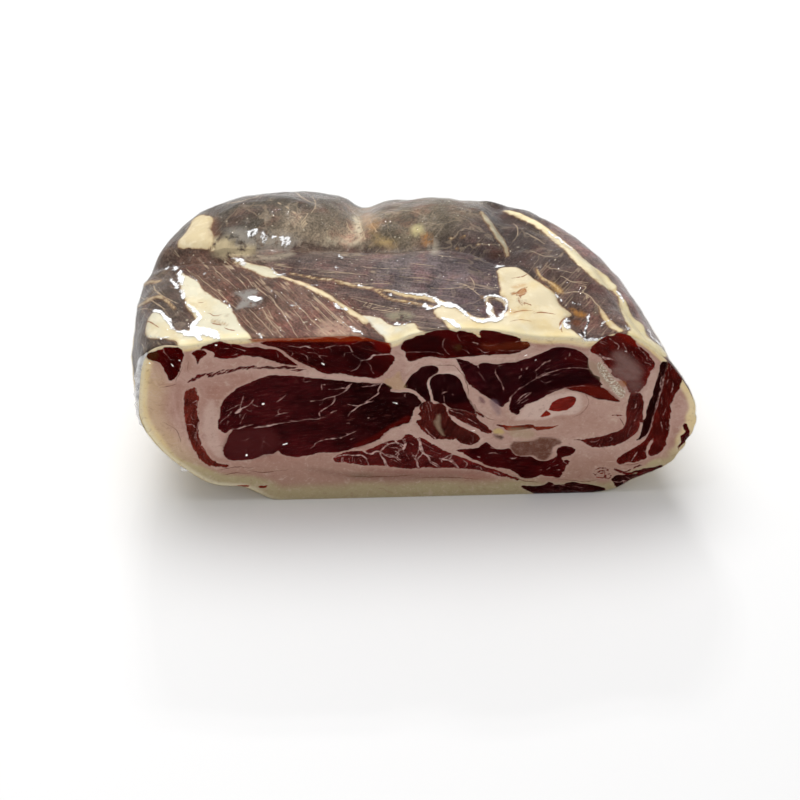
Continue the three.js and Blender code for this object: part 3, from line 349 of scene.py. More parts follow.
# Fat veins in the lean: x, z and half width along each.
CUT_VEINS = [
    [(-7.8, 25, 0.21), (-6.9, 27, 0.26), (-5.7, 28.5, 0.26), (-3.8, 29.8, 0.26), (-1.7, 30.4, 0.4),
     (0, 29.4, 0.19)],
    [(-6.7, 24.6, 0.21), (-4.8, 23.9, 0.35), (-2.7, 23, 0.26), (-1.4, 21.5, 0.21), (-0.2, 19.3, 0.12)],
    [(-2.1, 27.9, 0.15), (-0.8, 26.4, 0.23), (-1.1, 24.8, 0.22), (-2.2, 23.5, 0.18)],
    [(1.5, 32.2, 0.17), (1.6, 28.2, 0.31), (0.4, 27.2, 0.3), (-1.1, 26.8, 0.22)],
    [(8, 24.1, 0.27), (6.8, 22.6, 0.24), (5.9, 20.7, 0.3), (5.6, 18.4, 0.29), (6.2, 16.4, 0.31)],
    [(6.8, 32.6, 0.25), (7.6, 26.7, 0.33), (8, 24.5, 0.31)],
    [(8, 24.1, 0.25), (9.6, 21.7, 0.22), (10.3, 19.5, 0.21), (12, 17.5, 0.27), (14.1, 15.8, 0.32)],
    [(-6.6, 22.4, 0.21), (-5.9, 20.8, 0.3), (-5, 17.1, 0.45)],
    [(14, 20.9, 0.27), (16.1, 21.5, 0.26), (17.8, 22.7, 0.24), (19.1, 23.4, 0.19)],
    [(17.2, 21.2, 0.18), (18.7, 19.6, 0.21), (21.1, 15.6, 0.24)],
    [(3.4, 24.9, 0.09), (6.1, 21.3, 0.14)], [(-4, 21.2, 0.12), (-2.3, 20.5, 0.14), (-0.7, 18.3, 0.09)],
    [(-20.9, 22.9, 0.1), (-21.3, 20.5, 0.1)], [(-19.1, 22.6, 0.09), (-18.8, 20.1, 0.09)],
    [(-17.1, 22.5, 0.09), (-16.9, 19.9, 0.11)], [(-15.1, 21.7, 0.09), (-14.4, 19.2, 0.1)],
    [(-4.7, 28.6, 0.13), (-3.3, 27.7, 0.17), (-2.2, 27.9, 0.16)],
    [(10.6, 25.9, 0.11), (14.4, 23.5, 0.1)],
    [(22.3, 20.1, 0.09), (23.8, 18.6, 0.16), (23.6, 16.7, 0.15)],
    [(33.4, 67.1, 0.19), (33.8, 63.9, 0.21), (35.8, 59.4, 0.17), (36.4, 56.9, 0.18)],
    [(27.5, 66.1, 0.08), (28.5, 63.8, 0.12), (29.7, 61.9, 0.1)],
    [(41.4, 62.2, 0.12), (42.3, 63.3, 0.16)],
    [(48.4, 62.3, 0.13), (49.9, 63.4, 0.19), (52.6, 64, 0.14)],
    [(-60.2, 39.5, 0.23), (-58.4, 39.8, 0.23), (-55.9, 40.9, 0.32), (-52.7, 41.8, 0.2)],
    [(-52.6, 39.7, 0.14), (-51.2, 40.2, 0.41), (-48, 41, 0.49), (-45.1, 41.8, 0.38), (-42.3, 42.1, 0.2),
     (-39.1, 42.5, 0.15)],
    [(-39.1, 43.3, 0.23), (-37.1, 43.3, 0.2), (-34.7, 43.6, 0.18), (-28.7, 44.2, 0.23),
     (-26.3, 44.8, 0.12)],
    [(-58.3, 47.9, 0.38), (-57.3, 48.7, 0.63), (-56.3, 50, 0.52), (-55.6, 50.5, 0.27)],
    [(-55.8, 50.4, 0.28), (-53.5, 51.8, 0.22), (-50.9, 54.8, 0.13)],
    [(-51.9, 52.5, 0.19), (-51.2, 51.7, 0.17), (-50.1, 51.3, 0.12)],
    [(-56.2, 50.5, 0.2), (-55.9, 52.5, 0.18), (-55.5, 54.1, 0.32), (-54.9, 55.6, 0.19),
     (-54.7, 56.9, 0.08)],
    [(-56.2, 52.3, 0.18), (-57.4, 52.1, 0.2), (-58.7, 50.8, 0.22), (-61.3, 49.3, 0.11)],
    [(-59.5, 48.8, 0.14), (-60.7, 46.8, 0.23), (-64.2, 43, 0.21)],
    [(-56.8, 47.3, 0.16), (-57, 45.9, 0.1)],
    [(-54.4, 47.8, 0.13), (-55.5, 46.3, 0.14), (-57.1, 42.2, 0.09)],
    [(-54.1, 49.8, 0.17), (-53.6, 48.9, 0.14), (-52.7, 49.2, 0.12)],
    [(-61.8, 42.4, 0.18), (-61, 44, 0.18)],
    [(-43.2, 53.2, 0.18), (-41.5, 54.9, 0.21), (-40, 56.7, 0.13)],
    [(-44.3, 45.8, 0.14), (-42.8, 46.8, 0.26), (-39.9, 47.6, 0.15)],
    [(-42.8, 47.1, 0.2), (-43.1, 48.5, 0.16), (-42.4, 49.6, 0.12)],
    [(-40, 45.4, 0.22), (-39.5, 45.8, 0.14)],
    [(-31.4, 53.2, 0.18), (-27.4, 54, 0.2), (-22.7, 55.6, 0.2), (-20.2, 57.3, 0.19),
     (-18.4, 58.9, 0.44), (-17.4, 60.3, 0.2)],
    [(-24.9, 59.1, 0.12), (-22.5, 59.2, 0.15), (-20.1, 59.7, 0.29), (-18.4, 59.4, 0.35)],
    [(-26.9, 53.8, 0.09), (-27.3, 52.6, 0.12), (-28.3, 51.2, 0.1)],
    [(-22.8, 55.6, 0.18), (-23.1, 53.6, 0.24), (-24, 51.9, 0.23), (-28.1, 48, 0.24),
     (-28.9, 47.2, 0.17), (-28.6, 45.7, 0.19), (-28.4, 44.5, 0.1)],
    [(-27.3, 62.1, 0.14), (-27.1, 60.3, 0.2), (-27.2, 58.9, 0.1)],
    [(-26.7, 61.5, 0.26), (-25.9, 61.7, 0.26), (-25.7, 61.3, 0.12)],
    [(-24.4, 46.7, 0.19), (-23.4, 47.6, 0.25), (-22.3, 48, 0.17)],
    [(-33.3, 65.1, 0.1), (-33.2, 63.1, 0.16), (-30.6, 63.6, 0.12)],
    [(-57.3, 33.6, 0.14), (-56.5, 33.3, 0.18), (-55.3, 33.9, 0.19), (-54.3, 35, 0.15)],
    [(-48.7, 35.4, 0.11), (-50.1, 30.7, 0.18), (-50.4, 27.5, 0.1)],
    [(-49.5, 32.8, 0.19), (-46.8, 30.2, 0.08)], [(-55.9, 28.4, 0.08), (-56, 26, 0.1)],
    [(-32.7, 28.5, 0.22), (-31.6, 29.4, 0.23), (-30.7, 31.2, 0.21), (-26.4, 33.1, 0.23),
     (-24, 33.5, 0.23)],
    [(-25.5, 33, 0.2), (-21.5, 33.9, 0.21), (-18.8, 35.4, 0.25), (-17.3, 36.2, 0.19),
     (-16.1, 37.2, 0.08)], [(-21.9, 33.3, 0.12), (-20.9, 33.9, 0.17)],
    [(-18, 32.8, 0.21), (-16.9, 33.4, 0.17)], [(-44.2, 30.9, 0.13), (-42.7, 32.3, 0.08)],
    [(-18.6, 44.9, 0.1), (-17.9, 46.6, 0.22), (-16.6, 48.1, 0.27), (-14.7, 50.1, 0.33),
     (-13, 50.8, 0.29), (-11.7, 52, 0.38), (-10.3, 52.3, 0.22), (-9.4, 52.8, 0.08)],
    [(-12.3, 52.1, 0.2), (-9, 54.9, 0.24), (-7.7, 56.4, 0.38), (-7.8, 57.5, 0.19), (-6.9, 59.8, 0.27),
     (-5.8, 61.8, 0.21)], [(-14.7, 50.1, 0.26), (-18.4, 51.3, 0.11)],
    [(-6.8, 61.4, 0.3), (-11.2, 60.1, 0.22), (-13.6, 59.9, 0.13)],
    [(-18.5, 59.1, 0.3), (-18, 60.4, 0.26), (-16.5, 62, 0.1)], [(1.6, 54.4, 0.19), (1.9, 55.8, 0.12)],
    [(-11.4, 44, 0.35), (-11.1, 44, 0.31)], [(-19, 41.5, 0.17), (-18.1, 41.5, 0.17)],
    [(-24.6, 46.8, 0.17), (-23.4, 47.5, 0.29), (-22.3, 48.1, 0.13)],
    [(-19.7, 36.1, 0.11), (-18.5, 35.4, 0.13)],
    [(-3, 75.7, 0.27), (-5.1, 75.9, 0.31), (-9, 75.4, 0.4), (-9.5, 74.1, 0.34), (-11.8, 73.4, 0.3),
     (-13.1, 73.3, 0.27)],
    [(-13.1, 73.3, 0.16), (-13.3, 71.7, 0.18), (-14.4, 69.2, 0.17), (-15.5, 68.6, 0.16),
     (-16.9, 68, 0.1)], [(-11.4, 73.1, 0.13), (-9.8, 70, 0.15), (-9.6, 68.1, 0.16), (-9, 66.8, 0.11)],
    [(-13.1, 73.6, 0.17), (-14.2, 74.6, 0.14), (-15.5, 75.6, 0.12), (-16.1, 76.6, 0.09)],
    [(-16.9, 80.4, 0.27), (-15.9, 78, 0.22), (-15.3, 77.5, 0.09)],
    [(-17.3, 80.6, 0.25), (-18.2, 80.8, 0.15), (-19.5, 80.6, 0.15), (-21.3, 80.9, 0.14),
     (-24.2, 80.2, 0.2)],
    [(-15.7, 81.5, 0.15), (-14.4, 81.7, 0.16), (-13, 82.8, 0.15), (-12, 84, 0.12)],
    [(-26.8, 79.6, 0.14), (-25.3, 79.6, 0.19), (-24.2, 80.2, 0.25), (-22.7, 77.5, 0.11)],
    [(-33.6, 80.3, 0.27), (-32.3, 80.8, 0.25), (-31, 80.4, 0.31), (-29.9, 79.6, 0.15),
     (-28.4, 78.8, 0.08)],
    [(-33.4, 77.3, 0.18), (-32.1, 76.3, 0.17), (-31.5, 75.2, 0.12), (-31.3, 73.9, 0.07)],
    [(-31.1, 77.7, 0.1), (-28.3, 77.3, 0.12), (-27, 76, 0.13), (-25, 75.8, 0.12), (-24.3, 75.6, 0.07)],
    [(-27.5, 76, 0.1), (-26.6, 74.4, 0.11), (-26.2, 73.1, 0.07)],
    [(-18.5, 77, 0.13), (-18.6, 75.7, 0.13), (-18.9, 74.7, 0.07)],
    [(-18.5, 77, 0.12), (-17.4, 77.3, 0.1), (-16.1, 77.4, 0.08)],
    [(-9.8, 82.2, 0.1), (-8.7, 81.4, 0.14), (-8.4, 80.7, 0.07)],
    [(-37.2, 81.1, 0.15), (-35.9, 80.7, 0.2), (-33.2, 80.5, 0.14), (-30.2, 80.8, 0.14)],
    [(-33.2, 77.3, 0.1), (-32.1, 76.5, 0.14), (-31.3, 75.2, 0.12), (-31.3, 73.6, 0.07)],
    [(-36.7, 78.5, 0.07), (-36.4, 77, 0.07), (-37, 76, 0.07)],
    [(-40, 81.2, 0.08), (-38.1, 79.9, 0.09), (-37.1, 78.2, 0.07)],
    [(-35.2, 77.7, 0.08), (-33.9, 77.2, 0.08)],
    [(-56.4, 81.1, 0.1), (-52.7, 79.4, 0.22), (-51.8, 79.4, 0.1)],
    [(-59.4, 80.7, 0.14), (-57.5, 80.5, 0.08)],
    [(-56.4, 77.3, 0.12), (-55.3, 77.6, 0.17), (-54.4, 77.9, 0.08)],
    [(-57.4, 77, 0.07), (-55.5, 76.9, 0.07)],
    [(-42, 78.4, 0.1), (-41.5, 76.8, 0.1), (-41.3, 75.5, 0.07)], [(-57, 82.9, 0.08), (-57, 81.7, 0.07)],
    [(-54.3, 76.6, 0.08), (-52.9, 77.4, 0.08)],
    [(-80.1, 81.1, 0.17), (-80, 79.2, 0.17), (-79.3, 77.9, 0.12)],
    [(-78.9, 77.1, 0.11), (-77.9, 75.7, 0.11), (-77.2, 75.5, 0.1)],
    [(-24.1, 23.1, 0.24), (-22.8, 23.8, 0.32), (-19.8, 24.1, 0.38), (-16.8, 23.8, 0.38),
     (-14.4, 23.9, 0.45), (-13.2, 22.7, 0.37), (-12.4, 20, 0.29), (-11.7, 18, 0.24)],
    [(-13.7, 26.2, 0.43), (-12.5, 25.2, 0.45), (-10.7, 24.5, 0.46), (-9.5, 25.6, 0.45),
     (-7.7, 25.7, 0.46), (-7.4, 23.9, 0.4), (-6.3, 21.6, 0.45), (-6, 19.3, 0.42), (-5.7, 17.8, 0.37)],
    [(-7.7, 25.7, 0.38), (-6.4, 27.5, 0.4), (-5.2, 28.8, 0.45), (-4.6, 29.9, 0.34), (-6.4, 30.3, 0.32)],
    [(-7.1, 25.3, 0.29), (-4.7, 22.9, 0.3), (-2.6, 22.4, 0.3), (-1.1, 20.8, 0.19)],
    [(-2.3, 25.6, 0.29), (-0.8, 24.1, 0.27), (-1.7, 22.8, 0.22), (-0.2, 20.8, 0.19)],
    [(0.9, 31.6, 0.34), (1.4, 29.1, 0.35), (0.8, 26.8, 0.4), (-1, 26, 0.3)],
    [(-2.1, 31.9, 0.34), (-1.6, 30.1, 0.35), (-0.1, 29.6, 0.3), (1.2, 28.5, 0.19)],
    [(-21.4, 23, 0.18), (-21.8, 20.2, 0.22)], [(-19.2, 22.5, 0.11), (-19, 20.1, 0.11)],
    [(-18, 22.9, 0.11), (-17.8, 20.1, 0.11)],
    [(0.9, 31.3, 0.32), (1.6, 29, 0.35), (1.1, 26.8, 0.45), (-0.5, 26.3, 0.21)],
    [(6.1, 32.1, 0.4), (6.8, 29.8, 0.42), (6.8, 27.5, 0.38), (7.7, 25.7, 0.35), (8.4, 23.7, 0.29)],
    [(3.2, 29.9, 0.26), (4.2, 28.9, 0.16)],
    [(6.5, 27.8, 0.46), (8.1, 23.9, 0.4), (9.7, 22.2, 0.37), (10.8, 19.9, 0.37), (12.2, 18.5, 0.3),
     (14.1, 16.4, 0.22)], [(6.4, 26.2, 0.27), (5.3, 20.7, 0.29), (6, 18.5, 0.26), (5.6, 16.5, 0.18)],
    [(8.4, 23.3, 0.21), (10.4, 22.7, 0.16), (11.6, 22.1, 0.13)],
    [(14, 21.2, 0.37), (15.1, 20.9, 0.42), (17, 20.3, 0.37), (18.4, 22.5, 0.14)],
    [(17, 20.3, 0.38), (18.8, 18.5, 0.34), (20.5, 15.6, 0.14)],
    [(22.8, 19.5, 0.19), (23.9, 18.4, 0.22), (23.7, 16.7, 0.22), (22.8, 15.5, 0.14)],
    [(7.4, 30.2, 0.19), (11.6, 26.5, 0.11)], [(-0.4, 29.1, 0.29), (0.8, 26.9, 0.22), (1, 24.7, 0.11)],
    [(14.8, 19, 0.18), (14.4, 20.6, 0.21)], [(27.2, 16, 0.21), (28.7, 15.7, 0.24), (29.4, 14.4, 0.14)],
    [(33.9, 12.9, 0.21), (35.3, 12.4, 0.19), (36.1, 11.2, 0.14)],
    [(1.7, 23.6, 0.13), (2.8, 21.3, 0.13)], [(4.2, 23.5, 0.19), (5.3, 20.1, 0.19)],
    [(42.1, 57.1, 0.17), (43.8, 58.6, 0.21), (45.4, 60.5, 0.19), (49.5, 63.4, 0.17), (52.2, 65.1, 0.18),
     (57.7, 66.9, 0.16), (63.2, 66.7, 0.18), (65.5, 66.3, 0.16)],
    [(38.7, 47.5, 0.15), (38.6, 50.7, 0.18), (39, 52.6, 0.27), (40.4, 55.4, 0.17), (42, 57.4, 0.18),
     (43.2, 58.2, 0.19)], [(47.5, 62.5, 0.22), (48.8, 63.7, 0.25), (50.6, 64.9, 0.15)],
    [(47, 65.8, 0.14), (50.3, 69.9, 0.22), (52, 71.1, 0.15)],
    [(47.2, 65.5, 0.13), (47.6, 63.5, 0.13), (47.5, 62.2, 0.09)],
    [(50.5, 65.9, 0.12), (51.9, 67.1, 0.15)],
    [(49.4, 60.9, 0.13), (51, 59.8, 0.18), (52.5, 60.6, 0.18)],
    [(50.9, 59.6, 0.09), (51.3, 57.8, 0.09)], [(53.3, 63.3, 0.13), (55.8, 64.3, 0.15)],
    [(58.7, 74.3, 0.2), (58.6, 72.9, 0.16)], [(57.3, 72.1, 0.16), (57.4, 71.1, 0.13)],
    [(52.6, 55.6, 0.16), (56.1, 56.6, 0.16), (58.9, 57, 0.18), (61.6, 57.7, 0.16), (64.4, 57.8, 0.16),
     (67.3, 57.2, 0.1)], [(43.8, 67.2, 0.25), (44.4, 67.7, 0.2)],
    [(41.9, 63.2, 0.21), (42.5, 63.9, 0.16)], [(60.2, 71.5, 0.1), (62.3, 70.9, 0.1), (64.4, 69.9, 0.1)],
    [(41.1, 50.5, 0.18), (42.2, 52.5, 0.27), (44.8, 54.6, 0.21), (45.4, 54.8, 0.11)],
    [(42.2, 51.2, 0.19), (43.7, 52.2, 0.24), (46, 54.8, 0.12)],
    [(42.9, 49.6, 0.14), (44, 50.7, 0.2), (45.2, 51.6, 0.12)], [(41.6, 49.3, 0.11), (42.3, 50.5, 0.15)],
    [(34.7, 61.9, 0.17), (35.6, 60.6, 0.15), (36.3, 58, 0.09)], [(27, 69.5, 0.17), (27.5, 68.2, 0.12)],
    [(33.2, 67.1, 0.17), (33.8, 65.3, 0.18)], [(34, 68.9, 0.18), (35.6, 69.2, 0.12)],
    [(20, 70.9, 0.14), (21.9, 70.6, 0.08)], [(42.1, 67.5, 0.13), (42.3, 66.1, 0.1)],
    [(43.9, 67, 0.23), (44.2, 67.7, 0.18)], [(50.4, 60.1, 0.2), (51.3, 59.9, 0.26), (52.4, 60.5, 0.17)],
    [(28.1, 53.2, 0.15), (29.9, 50.6, 0.16), (31.1, 50.1, 0.11)],
    [(2.1, 76.4, 0.18), (6.7, 76.7, 0.16), (12, 76.3, 0.16), (15.2, 75.3, 0.08)],
    [(15.8, 83.2, 0.07), (15, 80.2, 0.16), (15, 78.6, 0.15)],
    [(15.7, 78.2, 0.09), (16.2, 76.7, 0.1), (17.3, 75.2, 0.07)],
    [(20.1, 84.6, 0.12), (20.6, 82.6, 0.13), (22.1, 80.2, 0.09)],
    [(25.2, 80.8, 0.16), (26, 80.5, 0.26), (26.8, 80.3, 0.25), (26.7, 79.3, 0.1)],
    [(28.9, 80.3, 0.13), (29.8, 79.2, 0.18), (31.6, 79.1, 0.12), (34.3, 79.9, 0.1)],
    [(26.6, 77.9, 0.11), (30.1, 75.4, 0.16), (30.8, 76.2, 0.11)],
    [(34.1, 76.6, 0.12), (38.6, 76.3, 0.1), (43.9, 76.3, 0.08)],
    [(39.6, 79.9, 0.1), (40.1, 80.6, 0.16), (41.7, 80.8, 0.12)],
    [(33.3, 74.7, 0.1), (33.8, 75.7, 0.08)], [(18.1, 79.7, 0.08), (18.5, 78.5, 0.08)],
    [(22.1, 77.3, 0.08), (24.2, 75.3, 0.08)], [(15.5, 56.2, 0.2), (16.5, 56.4, 0.15)],
    [(15.6, 61.9, 0.11), (15.8, 63.5, 0.08)], [(14.6, 55, 0.12), (15.5, 56.2, 0.18)],
    [(15.2, 54.5, 0.09), (15.8, 50.6, 0.2), (16.4, 48.9, 0.21), (16.9, 46.3, 0.14), (17, 44.1, 0.13)],
    [(18.4, 55.5, 0.16), (18.8, 54.7, 0.11)], [(9.2, 51.1, 0.14), (9.8, 47.8, 0.14), (10.5, 42, 0.07)],
    [(10, 51.4, 0.15), (10.8, 49.1, 0.14), (11, 46.4, 0.07)], [(7.6, 50.1, 0.09), (7.8, 47.8, 0.1)],
    [(8.7, 38.2, 0.16), (9.9, 35.5, 0.27), (12.6, 31.7, 0.22)],
    [(17, 47.5, 0.19), (18.8, 46.2, 0.17), (20.6, 45.5, 0.15), (22.4, 44.3, 0.1)],
    [(24.1, 42.1, 0.18), (25.6, 40.7, 0.17), (27.8, 39.3, 0.1)],
    [(23.3, 39.9, 0.15), (25.4, 38.5, 0.1)],
    [(25.4, 33.2, 0.14), (26.2, 31.3, 0.14), (25.8, 29.5, 0.13)], [(24.9, 30, 0.11), (25.2, 28.7, 0.1)],
    [(11.6, 30.9, 0.07), (11, 28.7, 0.07)], [(1.5, 55.4, 0.14), (2, 54.5, 0.16)],
    [(5.6, 58.5, 0.1), (5.7, 57.6, 0.07)], [(71.6, 81.2, 0.17), (75, 77.7, 0.19), (75, 75.4, 0.16)],
    [(76.3, 78.9, 0.17), (77.7, 76.3, 0.17), (78.2, 74, 0.13)],
    [(69, 73.5, 0.23), (71, 71.7, 0.31), (72.9, 71, 0.25), (73.9, 70.2, 0.11)],
    [(81.9, 76.6, 0.14), (85, 72.1, 0.15), (85.9, 69.8, 0.1)], [(80, 74.4, 0.09), (80.8, 72.2, 0.09)],
    [(67.7, 73.2, 0.23), (69.1, 72.6, 0.28), (70.9, 71.2, 0.28), (72.6, 70.8, 0.24)],
    [(68.4, 79.1, 0.1), (70.5, 78, 0.13)], [(68.6, 80, 0.1), (71.5, 78.5, 0.13)],
    [(84.7, 69, 0.11), (86.6, 68.1, 0.15), (87.3, 66.7, 0.09)],
    [(86.4, 70.5, 0.09), (87.5, 68.5, 0.09)], [(93.6, 59.8, 0.15), (93.3, 57.9, 0.1)],
    [(95.3, 58.4, 0.18), (95.6, 56.1, 0.24), (95.3, 53.3, 0.13)],
    [(91.4, 61.7, 0.15), (91.2, 57.2, 0.19), (91.8, 54.4, 0.1)],
    [(93.7, 67.4, 0.11), (94.2, 65.1, 0.08)], [(92.4, 50.8, 0.11), (92.2, 49, 0.17), (92.7, 47, 0.1)],
    [(94.2, 45.3, 0.15), (93.5, 41.4, 0.13)],
    [(92.6, 68.3, 0.08), (91.1, 51.7, 0.12), (90.5, 47.2, 0.13), (90, 38.8, 0.11)],
    [(89.9, 38.4, 0.18), (88.8, 31.3, 0.3), (87.7, 30.2, 0.35), (86.5, 29.2, 0.22)],
    [(93, 38.3, 0.18), (93.7, 35.3, 0.18), (93.7, 33.4, 0.1)],
    [(90.8, 29.2, 0.21), (89.6, 24.7, 0.27), (89.4, 21.7, 0.22), (90.2, 19.4, 0.19)],
    [(88.8, 22.3, 0.26), (87.9, 22.7, 0.14)],
    [(85.7, 22.1, 0.17), (85.4, 20.6, 0.21), (84.6, 18.8, 0.23), (84.1, 16.8, 0.13)],
    [(95.1, 38.3, 0.08), (95.4, 34, 0.08)], [(97.5, 49.2, 0.1), (97.4, 46.9, 0.08)],
    [(93.8, 63.4, 0.07), (93.6, 61.6, 0.08)], [(82.6, 53.9, 0.3), (83.8, 53.6, 0.23)],
    [(83.5, 48.3, 0.17), (83, 45.6, 0.22), (81.8, 45.3, 0.14)],
    [(84.5, 43.2, 0.09), (83.7, 40.9, 0.11)], [(82.5, 36.3, 0.11), (81.6, 31.6, 0.08)],
    [(75.3, 30.3, 0.17), (76.5, 29.7, 0.14), (75.1, 27.9, 0.13)],
    [(68.2, 28.5, 0.15), (70.6, 28.7, 0.17), (71.7, 29.9, 0.13)],
    [(83.5, 38.7, 0.13), (84.1, 41, 0.11)], [(71.7, 26.5, 0.14), (72, 25.2, 0.14)],
    [(78.3, 5.9, 0.17), (80.2, 5.2, 0.23), (81.8, 6.4, 0.24), (82, 3.2, 0.14)],
    [(81.8, 6.3, 0.23), (83.9, 5.7, 0.2), (85.9, 6.6, 0.22), (87.4, 8.1, 0.21)],
    [(85.1, 5.7, 0.17), (86.1, 4.2, 0.15)], [(82.9, 8.3, 0.17), (84.2, 7.3, 0.14)],
    [(39.5, 20.8, 0.17), (40.7, 20.3, 0.35), (41.9, 20.9, 0.17)],
    [(55.4, 17.5, 0.16), (55.9, 18.4, 0.12)],
    [(53.2, 13.4, 0.15), (54, 14.5, 0.23), (54.3, 15.1, 0.11)],
    [(50.4, 13.3, 0.15), (51.3, 13.2, 0.17)], [(55.5, 15.2, 0.11), (57.3, 16, 0.11)],
    [(56.8, 13.3, 0.13), (58.1, 13.2, 0.13)],
    [(59, 19.2, 0.18), (59.4, 17.4, 0.17), (60.4, 16.4, 0.12)],
    [(51.8, 24.1, 0.11), (53.9, 24.5, 0.17), (56.3, 26, 0.17), (57.8, 26.4, 0.11)],
    [(47.4, 21.4, 0.14), (50.5, 18.8, 0.1)],
    [(31.5, 23.1, 0.18), (33.3, 23.5, 0.18), (35.1, 22.8, 0.13)],
    [(27.9, 21.5, 0.15), (28.6, 21.2, 0.21)], [(32.1, 26.9, 0.12), (33.6, 25.7, 0.12)],
    [(55.4, 4.4, 0.13), (57.2, 5, 0.17), (62.2, 3.6, 0.11)], [(64.1, 3.6, 0.11), (67.2, 2.5, 0.11)],
    [(-72.7, 54.2, 0.19), (-71.3, 55.1, 0.22), (-70.6, 54, 0.19)],
    [(-70.9, 52.1, 0.25), (-72, 53.3, 0.12)],
    [(-76.2, 42.6, 0.12), (-74.2, 42.7, 0.19), (-73.2, 41.1, 0.12)],
    [(-71.9, 43.8, 0.31), (-72.5, 40, 0.19), (-73.1, 35.9, 0.15), (-72.1, 31, 0.12),
     (-70.9, 27.8, 0.07)], [(-73.4, 38.8, 0.09), (-73.7, 35.7, 0.12), (-73.1, 32.8, 0.07)],
    [(-74.5, 47.5, 0.07), (-73.6, 45, 0.09)], [(-70, 59.5, 0.31), (-70.7, 57.5, 0.19)],
    [(90.1, 40.6, 0.1), (91.3, 50, 0.2), (92.4, 60, 0.12)],
    [(89.4, 33.8, 0.16), (88.9, 31.2, 0.2), (87.8, 28.6, 0.2)],
]
